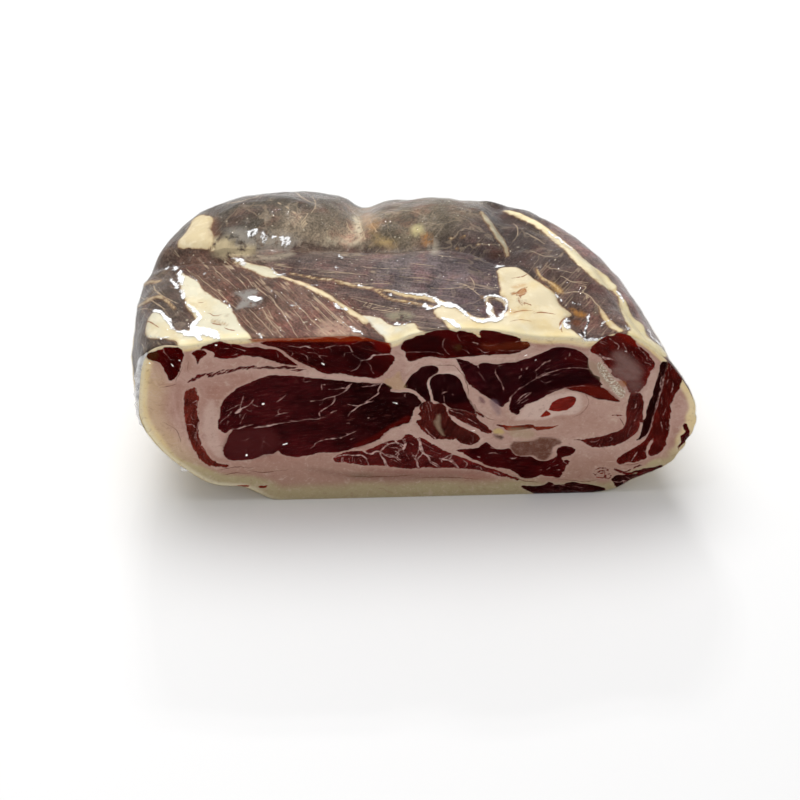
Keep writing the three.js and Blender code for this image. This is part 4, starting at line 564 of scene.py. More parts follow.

# Gristle, grey glassy patches and a painted shadow on the cut: colour, strength, softness of edge,
# outline.
CUT_PATCHES = [
    ("780d09", 0.75, 0.8, [
        (-26.2, 84.1), (-21.1, 84.4), (-13.6, 85), (-12.9, 83.7), (-14.4, 82), (-16.8, 81.2),
        (-20.3, 82.2), (-26, 83.2)]),
    ("700b07", 0.7, 0.9, [
        (-11.5, 84), (-8.2, 83.9), (-3.8, 82), (-2.7, 78.7), (-3.5, 76.8), (-6.1, 77), (-7.7, 78.5),
        (-8.9, 81.1)]),
    ("1c0406", 0.6, 3, [
        (-23.1, 80), (-13.8, 78.7), (-10.6, 74.8), (-12, 67.8), (-23.1, 69.5), (-24.4, 75)]),
    ("1c0305", 0.6, 2, [(1.1, 79.5), (2.5, 81.9), (13.6, 83.6), (14.6, 78.3), (12, 75.3), (2.7, 77.6)]),
    ("58080a", 0.5, 1.2, [
        (9.4, 85.6), (15.2, 87.3), (19.4, 85.8), (20.5, 82.6), (19.9, 80.4), (15.7, 82.8)]),
    ("6b2a14", 0.6, 1, [
        (28.4, 80.1), (33.2, 79.5), (38, 80.2), (43.8, 80.2), (45, 79.3), (43.9, 77.3), (33.3, 76.5),
        (29.3, 77)]),
    ("94502c", 0.6, 0.8, [(41.7, 80.4), (45, 79.5), (44.4, 78), (42.3, 77.7)]),
    ("4d3018", 0.6, 0.6, [
        (19, 79.3), (20, 79.9), (21, 79.7), (21.6, 78.1), (20.9, 76.6), (19.4, 76.9)]),
    ("4d0f0d", 0.5, 2, [
        (62.1, 74.4), (65.2, 70.4), (64.9, 67.4), (61.1, 67.5), (56.4, 72.1), (59.4, 73.5)]),
    ("6e1c10", 0.7, 0.9, [
        (57.5, 56.6), (65.9, 58.3), (70.1, 56.9), (73.1, 55.5), (77.3, 49.4), (73.1, 50.5), (68, 52),
        (62.6, 55.1)]),
    ("160305", 0.55, 2.4, [
        (41.8, 64.7), (48.9, 60.4), (59.9, 64.6), (63.5, 61.9), (59.5, 58.2), (52.6, 56.7),
        (44.2, 54.5)]),
    ("a08870", 0.75, 0.5, [
        (13.3, 45.1), (14.1, 44.4), (14.2, 39.8), (14.6, 37.1), (15.8, 32.8), (14.9, 33.5),
        (13.8, 35.6), (12.7, 37.6), (11.8, 41), (12.6, 42.3)]),
    ("6c4538", 0.97, 0.45, [
        (40.5, 29.5), (43.2, 29.6), (45.9, 29.7), (48.6, 30.3), (50, 31.4), (52.5, 31.1), (54.9, 30.8),
        (56.7, 29.8), (58, 27.9), (56.8, 27.1), (55.1, 25.8), (54.1, 21.2), (52.3, 18.9), (49.9, 19.6),
        (48, 21.5), (45, 21.5), (41.9, 22), (39.5, 26.3)]),
    ("b3a080", 0.5, 1.2, [
        (38.5, 36.3), (47.5, 35.1), (48.2, 32.8), (46.2, 30.4), (43.1, 31.4), (39.2, 32.7)]),
    ("cdb277", 0.9, 0.4, [
        (33, 35.5), (34.1, 36.8), (35.5, 36.7), (37, 35.3), (36.7, 33.7), (33.4, 34.4)]),
    # painted shadow under the cream lump of gristle above
    ("3a1410", 0.85, 0.4, [(33.3, 34), (34.9, 33.2), (36.7, 32.6), (36.7, 31), (35.3, 30.8)]),
    ("94766f", 0.66, 2, [
        (73.6, 73.8), (76, 74.6), (84.1, 64.6), (83.7, 61.1), (83.6, 59.3), (79.2, 59.4), (78.5, 58.8),
        (76, 61.3), (74, 62.7), (73.5, 65.9), (75.2, 68.5), (73.8, 71.2)]),
    ("86655f", 0.6, 2.2, [(79.2, 59.9), (83.5, 60.2), (85.1, 56.5), (84, 54.3), (81.2, 53.6)]),
    ("a36742", 0.75, 0.5, [
        (75.8, 59.5), (77, 60.4), (78.9, 59.4), (79.5, 57.6), (78.5, 56.7), (76.7, 57.3)]),
    ("d6cab4", 0.55, 0.6, [
        (73.8, 56.9), (75, 57.3), (76.6, 56.8), (78, 54.9), (78.1, 52.7), (77.2, 52.2), (75.6, 53.7),
        (74.2, 55.1)]),
    ("a38d75", 0.6, 1, [
        (65.4, 70.8), (70.5, 66.7), (73.3, 60.6), (73.3, 56), (70.6, 59.7), (65.7, 66.6)]),
    ("4a2a10", 0.7, 0.6, [
        (-86.2, 78.3), (-85.3, 79.4), (-82.6, 79.8), (-82.2, 77.5), (-83.7, 75.7), (-85.9, 76.2)]),
    ("80170a", 0.75, 0.8, [(73.9, 83.5), (77.5, 83.4), (81.5, 77), (79.8, 77.3), (75.5, 81.5)]),
    ("4a0d0c", 0.6, 1.2, [
        (17, 48.9), (21.7, 46.8), (26.5, 45.1), (24, 50.4), (18.8, 49.7), (16.4, 50.6)]),
    ("5c100b", 0.8, 0.9, [
        (2.8, 44.6), (3.4, 41.5), (0.4, 40.3), (-2, 38.4), (-3.8, 37.5), (-7.5, 33.2), (-10.6, 31.1),
        (-13.6, 29.1), (-16.7, 28.1), (-16.6, 29.7), (-11.1, 33.1), (-7.4, 36.1), (-4.4, 39.1),
        (-1.4, 41.2)]),
    ("542222", 0.7, 2, [
        (-63.9, 26.9), (-60.1, 38.2), (-52.1, 39.1), (-45.7, 38.3), (-45.6, 27.5), (-61.3, 23.7)]),
    ("7d6470", 0.6, 0.8, [(31.7, 51.8), (33.4, 51.7), (35.3, 47.8), (35.1, 43.4), (32.6, 47.9)]),
    ("6b3f48", 0.7, 0.5, [(27.8, 53.7), (29.3, 52.8), (29.9, 50.1), (28.5, 50.6)]),
    ("98300e", 0.85, 0.35, [
        (-50.9, 86.4), (-33.3, 86.8), (-13, 86.1), (-4.9, 84.9), (-2.6, 81), (-3, 78.6), (-4.3, 80.5),
        (-6.3, 81.9), (-13.1, 82.5), (-23.3, 82.3), (-33.5, 83), (-43.7, 83.4), (-50.4, 83.9)]),
    ("c4a276", 0.5, 0.4, [
        (-5.4, 63.3), (-2.6, 64.7), (-0.1, 67.6), (0.9, 63.1), (2.2, 59), (-0.6, 58.1), (-4.1, 60.2)]),
    ("704a3e", 0.45, 2.5, [(-34, 17.4), (-20, 14.6), (12, 13.4), (26, 11), (-16, 10.6)]),
    ("5c4630", 0.5, 1.6, [(-20, 13.8), (-13.1, 14.4), (-9.8, 13.1), (-10.7, 11.4), (-19.2, 11.7)]),
    ("96564c", 0.4, 1.8, [(19.4, 12.9), (24.1, 13.5), (34, 9.7), (28.9, 8.2), (22.4, 10)]),
    ("86504a", 0.5, 2, [(-12, 15.6), (16, 14), (30, 12.6), (0, 12.6)]),
]

# The strip of crumbly gristle on the cut: x, z and half width along it.
CUT_CRUMBS = [
    (68.9, 69.1, 0.7), (70.3, 66, 1.2), (71.8, 63.3, 1.4), (73.8, 60.1, 1.3), (75.8, 56.8, 1.6),
    (77.3, 54.5, 1.7), (78, 52.2, 0.9),
]

# Fat on the top, as read on the level of TOP_LEVEL: colour and outline.
TOP_FAT = {
    "left_band": ("d7d1ba", [
        (-76.9, 39.2), (-74.8, 37.8), (-70.5, 34.7), (-69, 31.4), (-67, 28.7), (-58.7, 21.7),
        (-57.4, 18.7), (-53.8, 11.1), (-50.5, 5.4), (-50.2, -3), (-74.3, -3), (-75.8, 4.1),
        (-82.5, 6.4), (-86.4, 7.3), (-87, 14.1), (-84.8, 19.7), (-82, 18), (-77.6, 11.2), (-74.8, 9.3),
        (-71.8, 10.7), (-70.3, 15.7), (-73.8, 21.9), (-74.5, 25.1), (-77.3, 35.6)]),
    "back_patch": ("d3c39f", [
        (-73.8, 68), (-71.1, 69.7), (-67.3, 69.2), (-66.4, 65.6), (-67.7, 62.9), (-66.4, 60.8),
        (-66, 53), (-64, 49.6), (-68.2, 51.3), (-73.8, 52.1), (-78.4, 52.3), (-79.1, 55.7), (-77, 59.8),
        (-75, 64.6)]),
    "seam_wedge": ("d3ccb3", [
        (-59.7, 45.2), (-56.5, 45.1), (-54.2, 44), (-46.8, 41.8), (-44.1, 40), (-42.2, 37.6),
        (-39.9, 35.6), (-42.6, 35.6), (-46.6, 35.8), (-52.2, 40)]),
    "notch": ("dad6c6", [
        (-12.4, 15.4), (-6.3, 14), (-4.1, 11.4), (-1.5, 10), (2.1, 10.9), (5.6, 11), (7.3, 7.3),
        (9, 6.6), (6.3, 5.4), (3.3, 4.6), (1.4, 1.4), (1, -3), (-3, -3), (-4.2, 2.7), (-8.5, 9.6)]),
    "right_patch": ("dccfb0", [
        (35.9, 36.9), (37.7, 38.4), (41.4, 38.1), (45.3, 35.8), (50.8, 29.5), (55.3, 24), (56, 19.8),
        (59.9, 13.3), (57.4, 11.7), (57.2, 9), (59.3, 6.5), (64.9, -1.8), (66, -5), (45, -5), (23, -4),
        (20, 2.6), (17.4, 7.4), (15.8, 11.2), (13.2, 13.9), (12.4, 16.5), (14.9, 19.3), (18.4, 19.2),
        (24.6, 12.8), (28, 10.9), (31.6, 11.2), (34.9, 11.8), (37.6, 14.2), (38, 21.8), (36.2, 24.7),
        (36.5, 28.9), (35.7, 32.5)]),
    "far_band": ("e6d8ac", [
        (73.4, 33.3), (75.9, 29.1), (78, 21.7), (79.4, 18.2), (81.3, 11.3), (83.9, 7.6), (85.1, 2.4),
        (90.3, -4.7), (91.6, -8), (88.2, -7.9), (84.7, -6.4), (80.7, -5.7), (77.9, -3), (77.5, 0.8),
        (78.4, 3.7), (79.9, 5.9), (78.8, 7.7), (76.5, 22.4), (75.5, 25.4), (74.1, 26.6)]),
}
# Seams of fat and membranes on the top: colour, then x, y and half width along each.
TOP_SEAMS = [
    ("e4d3ae", [
        (-41, 36, 0.7), (-36, 33, 0.6), (-31, 30.4, 0.9), (-26, 27, 1.1), (-22, 23, 0.7),
        (-18, 19.4, 0.8), (-11, 12.6, 1.4)]),
    ("cdbb9a", [
        (-38, 38, 0.3), (-27.2, 34.6, 0.5), (-20.5, 32.7, 0.5), (-8.4, 28.4, 0.4), (-2.1, 26.9, 0.5),
        (4.1, 24.9, 0.8), (9, 24, 1), (14, 21.6, 1.2), (18, 18.6, 1.4), (24, 14, 1.3)]),
    ("b79f80", [(-9, 28.4, 0.2), (-2.2, 23.3, 0.4), (4.1, 21.9, 0.4), (13, 18, 0.6)]),
    ("f4ead6", [(23, 14.4, 1.2), (27.4, 11.9, 1.2), (34.6, 12, 1.2), (37.4, 14.6, 1.2)]),
    ("f4ead6", [(30.9, 23, 0.5), (32.4, 15.4, 1), (33.4, 12.2, 0.9)]),
    ("e6dcc8", [(29.6, 24, 0.4), (33, 23.4, 0.5), (36.4, 21.6, 0.8), (38, 18.4, 0.9)]),
    ("ece0bc", [
        (40.1, 68.2, 0.6), (43.6, 66.6, 1), (47, 64.1, 1.3), (50.9, 60.9, 1.3), (56.5, 53.9, 1.4),
        (59.8, 50, 1.5), (65.5, 40.2, 1.8), (72.6, 30.5, 2.2), (75.5, 26.9, 1.6)]),
    ("a9a088", [
        (31.4, 67.4, 0.5), (33.6, 63, 1), (35.4, 58.4, 0.8), (37.6, 53, 1.2), (38.9, 49, 0.8),
        (39.6, 44.4, 0.6)]),
    ("c9b083", [(49.3, 37.1, 0.3), (51, 32.7, 0.5), (53.8, 29.8, 0.6), (57.8, 24.6, 0.3)]),
    ("c6b596", [(69.9, 17.2, 0.3), (72.4, 9, 1.2), (76, 5, 1.2)]),
    ("b9a98c", [(-91, 22, 0.4), (-84, 27.4, 0.5), (-77.6, 21, 0.3)]),
    ("b9a98c", [(-90, 33, 0.5), (-87, 34.8, 0.6), (-84, 36, 0.3)]),
    ("d8cba4", [(19, 55.2, 0.5), (20, 54.8, 0.5)]),
    ("c9bd9a", [(21.4, 53.4, 0.5), (22.5, 53, 0.5)]),
    ("cfc186", [(23.4, 55.8, 0.5), (24.6, 55.4, 0.5)]),
    ("c4b47c", [(21.6, 48.4, 0.5), (22.8, 47.8, 0.5)]),
    ("b0a890", [(29.2, 50.6, 0.5), (29.8, 50.2, 0.4)]),
]

# Muscles of the dried lean on the top: colour, fibre angle in degrees, strength of the fibres, and
# places along the middle of each. Their colours shade into each other over about SHADING mm.
SHADING = 9.0
TOP_LEAN = {
    "left_side": ("50443c", -58, 0.45, [(-86, 30), (-80, 20), (-88, 10)]),
    "left_fan": ("5e463b", -52, 0.95, [(-66, 40), (-52, 32), (-46, 14), (-38, 24), (-60, 20)]),
    "fan_front": ("705046", -52, 0.95, [(-30, 8), (-22, 14)]),
    "middle": ("5a4a45", -13, 0.85, [(-36, 44), (-18, 36), (-6, 20), (8, 14)]),
    "middle_back": ("645959", -13, 0.8, [(0, 34), (14, 34)]),
    "middle_right": ("554849", -13, 0.5, [(26, 34), (26, 22), (34, 18)]),
    "back_left": ("4e463d", 60, 0.3, [(-62, 62), (-50, 72), (-30, 78), (-40, 92)]),
    "valley": ("887a68", 60, 0.2, [(-36, 60), (-22, 62)]),
    "back_right": ("665b4c", 60, 0.2, [(0, 60), (16, 66), (20, 82)]),
    "back_seam": ("4a3e3a", 60, 0.3, [(28, 56)]),
    "right_strip": ("403430", 54, 0.5, [(44, 60), (52, 46), (60, 38)]),
    "right_front": ("5a4740", 54, 0.55, [(66, 22), (56, 30), (72, 10), (62, 10)]),
    "right_edge": ("857370", -52, 0.25, [(66, 56), (75, 44), (83, 28), (89, 14)]),
}

# Pale hairlines on the top, as the middle and half width of each.
TOP_HAIRS = [
    [(-71.2, 38, 0.12), (-65.4, 31.9, 0.16), (-58.8, 23.9, 0.16), (-56.4, 20.6, 0.1)],
    [(-66, 42.4, 0.1), (-61.1, 36.3, 0.16), (-56.8, 30.9, 0.1)],
    [(-47, 19.7, 0.1), (-44.2, 13.9, 0.2), (-39.6, 5.6, 0.14)],
    [(-45, 26.6, 0.1), (-40.8, 19.5, 0.2), (-34.3, 4.8, 0.12)],
    [(-41, 27.8, 0.1), (-35.5, 22.5, 0.18), (-31, 16, 0.18), (-25.6, 8.3, 0.12)],
    [(-55.4, 38.8, 0.1), (-51, 32, 0.14)], [(-51.5, 19.8, 0.1), (-46.8, 13.3, 0.16), (-42.7, 6.3, 0.1)],
    [(-54, 17.4, 0.08), (-50.4, 11.6, 0.14), (-46.8, 5, 0.1)],
    [(-36.8, 20.4, 0.08), (-33.6, 14.6, 0.14), (-30.4, 8, 0.1)],
    [(-32.4, 24.6, 0.08), (-27, 18.4, 0.15), (-22.8, 12.4, 0.1)],
    [(-46.1, 77.6, 0.2), (-41.3, 74.6, 0.35), (-37, 70.2, 0.4), (-31.7, 63, 0.25)],
    [(-32.3, 68.6, 0.15), (-34.5, 64.5, 0.25), (-33.6, 61, 0.15)],
    [(-30.9, 70, 0.15), (-29.1, 74.9, 0.3), (-30.6, 79, 0.15)],
    [(-31.7, 63, 0.25), (-28, 60.6, 0.3), (-24, 60, 0.2)],
    [(-40, 84, 0.15), (-35, 79.4, 0.25), (-31, 76, 0.15)],
    [(-62, 76, 0.12), (-56, 77.4, 0.2), (-50.4, 80, 0.15)],
    [(-27, 57.4, 0.2), (-15, 54.4, 0.3), (-10, 55.4, 0.2)],
    [(-14, 68, 0.2), (-12.6, 62, 0.35), (-11.6, 57, 0.25)],
    [(-18, 64, 0.15), (-16.6, 59.6, 0.3), (-13, 56.6, 0.2)],
    [(-9.6, 66, 0.15), (-8, 60.6, 0.3), (-4.4, 56.4, 0.25), (-1, 54, 0.15)],
    [(58.3, 24.6, 0.15), (61.3, 25.2, 0.25), (64.2, 24.4, 0.25), (66.9, 22.2, 0.25), (69.9, 17.2, 0.25),
     (71.8, 11.6, 0.15)], [(64.5, 28, 0.12), (66.4, 27.2, 0.2), (65.2, 24.4, 0.2), (65.9, 20.8, 0.15)],
    [(46.4, 56.6, 0.12), (50, 53.4, 0.2), (53.4, 50.6, 0.15)],
    [(48.2, 46.8, 0.1), (52.4, 44.2, 0.18), (56.8, 42.8, 0.12)],
    [(52.8, 38.6, 0.1), (57, 36.6, 0.18), (61.6, 34.6, 0.1)],
    [(58, 33, 0.1), (61.6, 30.4, 0.2), (66.8, 29.6, 0.12)],
    [(42.8, 61.8, 0.15), (44.2, 58.4, 0.25), (43.6, 55, 0.15)],
    [(-86.2, 32.6, 0.2), (-83.9, 28.9, 0.35), (-80.3, 25.9, 0.3), (-77.1, 23.9, 0.15)],
    [(-88, 26.6, 0.15), (-84.6, 24, 0.3), (-81.4, 21.4, 0.15)],
    [(20.4, 31.2, 0.1), (24, 29.6, 0.2), (26.6, 27.2, 0.2), (28.8, 25.2, 0.15)],
    [(26.6, 27.2, 0.1), (27.2, 30.4, 0.2), (25.6, 33.4, 0.1)],
    [(-27.6, 38.4, 0.1), (-19, 37.4, 0.16), (-10.4, 36, 0.1)],
    [(-12, 40.4, 0.1), (-4, 39.4, 0.15), (4.6, 39.6, 0.1)],
    [(-22, 33, 0.1), (-12, 31.6, 0.18), (-2, 30.8, 0.1)],
    [(-16, 24.4, 0.1), (-8, 21, 0.18), (0, 18.6, 0.12)],
    [(-12.4, 20.6, 0.1), (-5, 17.8, 0.18), (2, 17.2, 0.1)],
    [(12, 29, 0.1), (18, 28, 0.15), (24, 28.4, 0.1)], [(-89.4, 33.6, 0.2), (-85.2, 35.4, 0.2)],
    [(-90.5, 27.4, 0.2), (-87.7, 25.2, 0.2)],
    [(-90.7, 20.3, 0.15), (-88, 21.6, 0.25), (-85.5, 20.6, 0.15)],
]

# Thin brown cracks on the top, drawn in the same way.
TOP_CRACKS = [
    [(40.2, 24.1, 0.15), (41.7, 24.8, 0.3), (43.9, 27.1, 0.4), (45.1, 27.5, 0.3)],
    [(42, 23.3, 0.2), (43.9, 23.1, 0.35), (44.9, 24.7, 0.3), (45, 26.6, 0.2)],
    [(42.3, 22.4, 0.15), (42.4, 20.4, 0.3), (43, 18.4, 0.15)], [(44, 19.7, 0.15), (45.9, 18.3, 0.25)],
    [(40.9, 32.8, 0.1), (43.6, 33.3, 0.2), (46.3, 34.7, 0.1)],
    [(39.2, 15, 0.1), (42.5, 15.8, 0.2), (46.4, 15.6, 0.1)],
    [(38.9, 10.3, 0.1), (42.2, 11.1, 0.2), (45.4, 10.1, 0.1)],
    [(47.6, 14.2, 0.1), (50.9, 14.6, 0.25), (54.1, 13.5, 0.1)], [(-64.1, 13.3, 0.15), (-61.4, 12, 0.3)],
    [(-59.4, 10.6, 0.2), (-56.8, 9.7, 0.3)], [(-69.2, 23.3, 0.15), (-67.9, 23.8, 0.15)],
    [(-66, 18.4, 0.1), (-63.6, 17, 0.2), (-61.4, 17.4, 0.1)], [(62.9, 5.8, 0.2), (64.1, 1.2, 0.4)],
    [(56.1, 5.6, 0.2), (55.7, 8.4, 0.35), (57.2, 11.6, 0.2)],
    [(64.4, 4, 0.2), (64.3, 6.7, 0.35), (65.9, 10.3, 0.2)],
    [(47.6, 33.9, 0.2), (51.2, 28.9, 0.35), (53.7, 25.9, 0.2)],
    [(-89.8, 14.8, 0.2), (-86.3, 14.6, 0.35), (-83, 12, 0.15)],
]

# Stains, glassy membranes, brown marks and patches of painted shade on the top: colour, strength,
# softness, outline.
TOP_PATCHES = [
    ("b0a48e", 0.7, 1.8, [
        (-60.5, 49.9), (-54.3, 48.2), (-44.9, 47.6), (-35.5, 49), (-44, 45.6), (-54, 45.6)]),
    ("c7a892", 0.5, 2, [(-25, 14.3), (-18.5, 13.2), (-13.3, 8.4), (-12.7, 4.7), (-28.2, 5.2)]),
    ("dac8a2", 0.8, 2.2, [
        (-66.3, 57.3), (-63.9, 55.9), (-61.2, 57.8), (-59.2, 55), (-54.6, 53.5), (-51.8, 54.1),
        (-50.8, 50.6), (-53, 47.3), (-65.5, 49.1)]),
    ("b4aca0", 0.65, 4, [(-60, 62), (-50, 60), (-38, 58), (-34, 52), (-44, 50), (-56, 54)]),
    # painted shade: a dark band along the crease before the back lobes
    ("35201f", 0.7, 1.2, [
        (-38.2, 51.5), (-32.9, 54.8), (-25.4, 52), (-8.5, 48.9), (-9.2, 47), (-18.6, 48.3),
        (-28.7, 49.1), (-35.5, 47.9)]),
    ("8e8a84", 0.9, 0.7, [
        (-58.1, 29), (-55.4, 29.1), (-52.3, 30.1), (-49.6, 30), (-48.7, 28.1), (-51.3, 26.9),
        (-51.7, 25.6), (-47.7, 26.4), (-47.6, 23.8), (-50.2, 21.4), (-53.3, 21.2), (-56.4, 20),
        (-55.6, 23.1), (-54.4, 25.7), (-56.2, 27.7)]),
    # painted shade: a brown band beside the pale patch at the back left
    ("6e4632", 0.6, 1.8, [
        (-67.3, 69.5), (-64.9, 67.7), (-65.2, 64.9), (-63.9, 58), (-66.8, 57), (-67.4, 60.8),
        (-68.4, 62.9), (-67.2, 65.6)]),
    ("dccfb2", 0.8, 1.2, [
        (-15.7, 67.1), (-14.3, 67.4), (-12.3, 59), (-12.7, 55.6), (-14.1, 57.7), (-15, 61.8)]),
    ("b98d5c", 0.6, 2.4, [
        (-11.8, 68), (-9, 68.6), (-6.7, 64.3), (-7.2, 60.2), (-9, 58.9), (-10.9, 61)]),
    ("c9ac78", 0.7, 2, [(-8.1, 56.1), (0.1, 52.4), (-0.8, 50.4), (-7.2, 52.6)]),
    ("cdbfa6", 0.75, 1.3, [
        (-25, 57), (-19.2, 55.8), (-12.3, 53.5), (-12.8, 52), (-19.7, 53), (-25, 54)]),
    ("a0764a", 0.5, 2, [(-16.4, 73.8), (-13.6, 74.1), (-13.2, 70.9), (-15, 69.9), (-16.7, 71)]),
    ("cfc491", 0.7, 1.6, [(6, 61.8), (9.1, 62), (9.4, 57.5), (7.5, 55.9), (5.7, 57.6)]),
    ("b17c48", 0.7, 1.5, [(9.4, 57.5), (12.2, 56.7), (13.2, 52.6), (12, 49.9), (9.7, 51.3)]),
    ("cbbfaa", 0.5, 1.5, [(12.1, 54), (14.3, 52.5), (14.9, 47.1), (13.2, 45.8), (11.5, 49.2)]),
    ("6a4436", 0.6, 1.5, [(33.3, 46.5), (36.6, 47.7), (38.3, 44.9), (36.3, 42.3), (33.2, 43.1)]),
    ("aaa68a", 0.5, 1.6, [(-4, 15.8), (3.5, 16.8), (4.8, 14.2), (1.2, 13.1), (-2.3, 12.6)]),
    ("a46a35", 0.8, 0.6, [(41.5, 24.6), (42.6, 25.6), (44.7, 27.4), (45.2, 25.1), (43.4, 23.2)]),
    ("a46a35", 0.8, 0.4, [(39.6, 24.6), (41.4, 25.4), (41.2, 24), (40, 23.6)]),
    ("8f5a30", 0.8, 0.4, [(41.6, 21.6), (44.8, 19.8), (45.2, 19.2), (42, 20.6)]),
    ("b98a52", 0.5, 0.7, [(40, 28.4), (45, 30), (46, 29), (41, 27.4)]),
    ("b98a52", 0.4, 0.6, [(36, 16), (45, 16.6), (45, 15.6), (37, 14.8)]),
    ("a87c4a", 0.7, 0.4, [(-64.6, 14.9), (-61, 13.6), (-58, 11.2), (-60.6, 12.2), (-64.4, 13.8)]),
    ("a87c4a", 0.6, 0.4, [(-60, 16.6), (-58.8, 17), (-58.6, 16)]),
    ("c29a58", 0.6, 1, [(53.8, 30.5), (56.6, 28.2), (57.9, 25.3), (56.4, 24.7), (54.1, 27.6)]),
    ("b9803a", 0.7, 1, [(59.7, 16.8), (65.2, 13.2), (64.1, 11.8), (61.3, 13.3)]),
    ("74452a", 0.7, 0.7, [(60.2, 11.3), (63, 10.5), (61.8, 7.8), (60.5, 8.5)]),
]

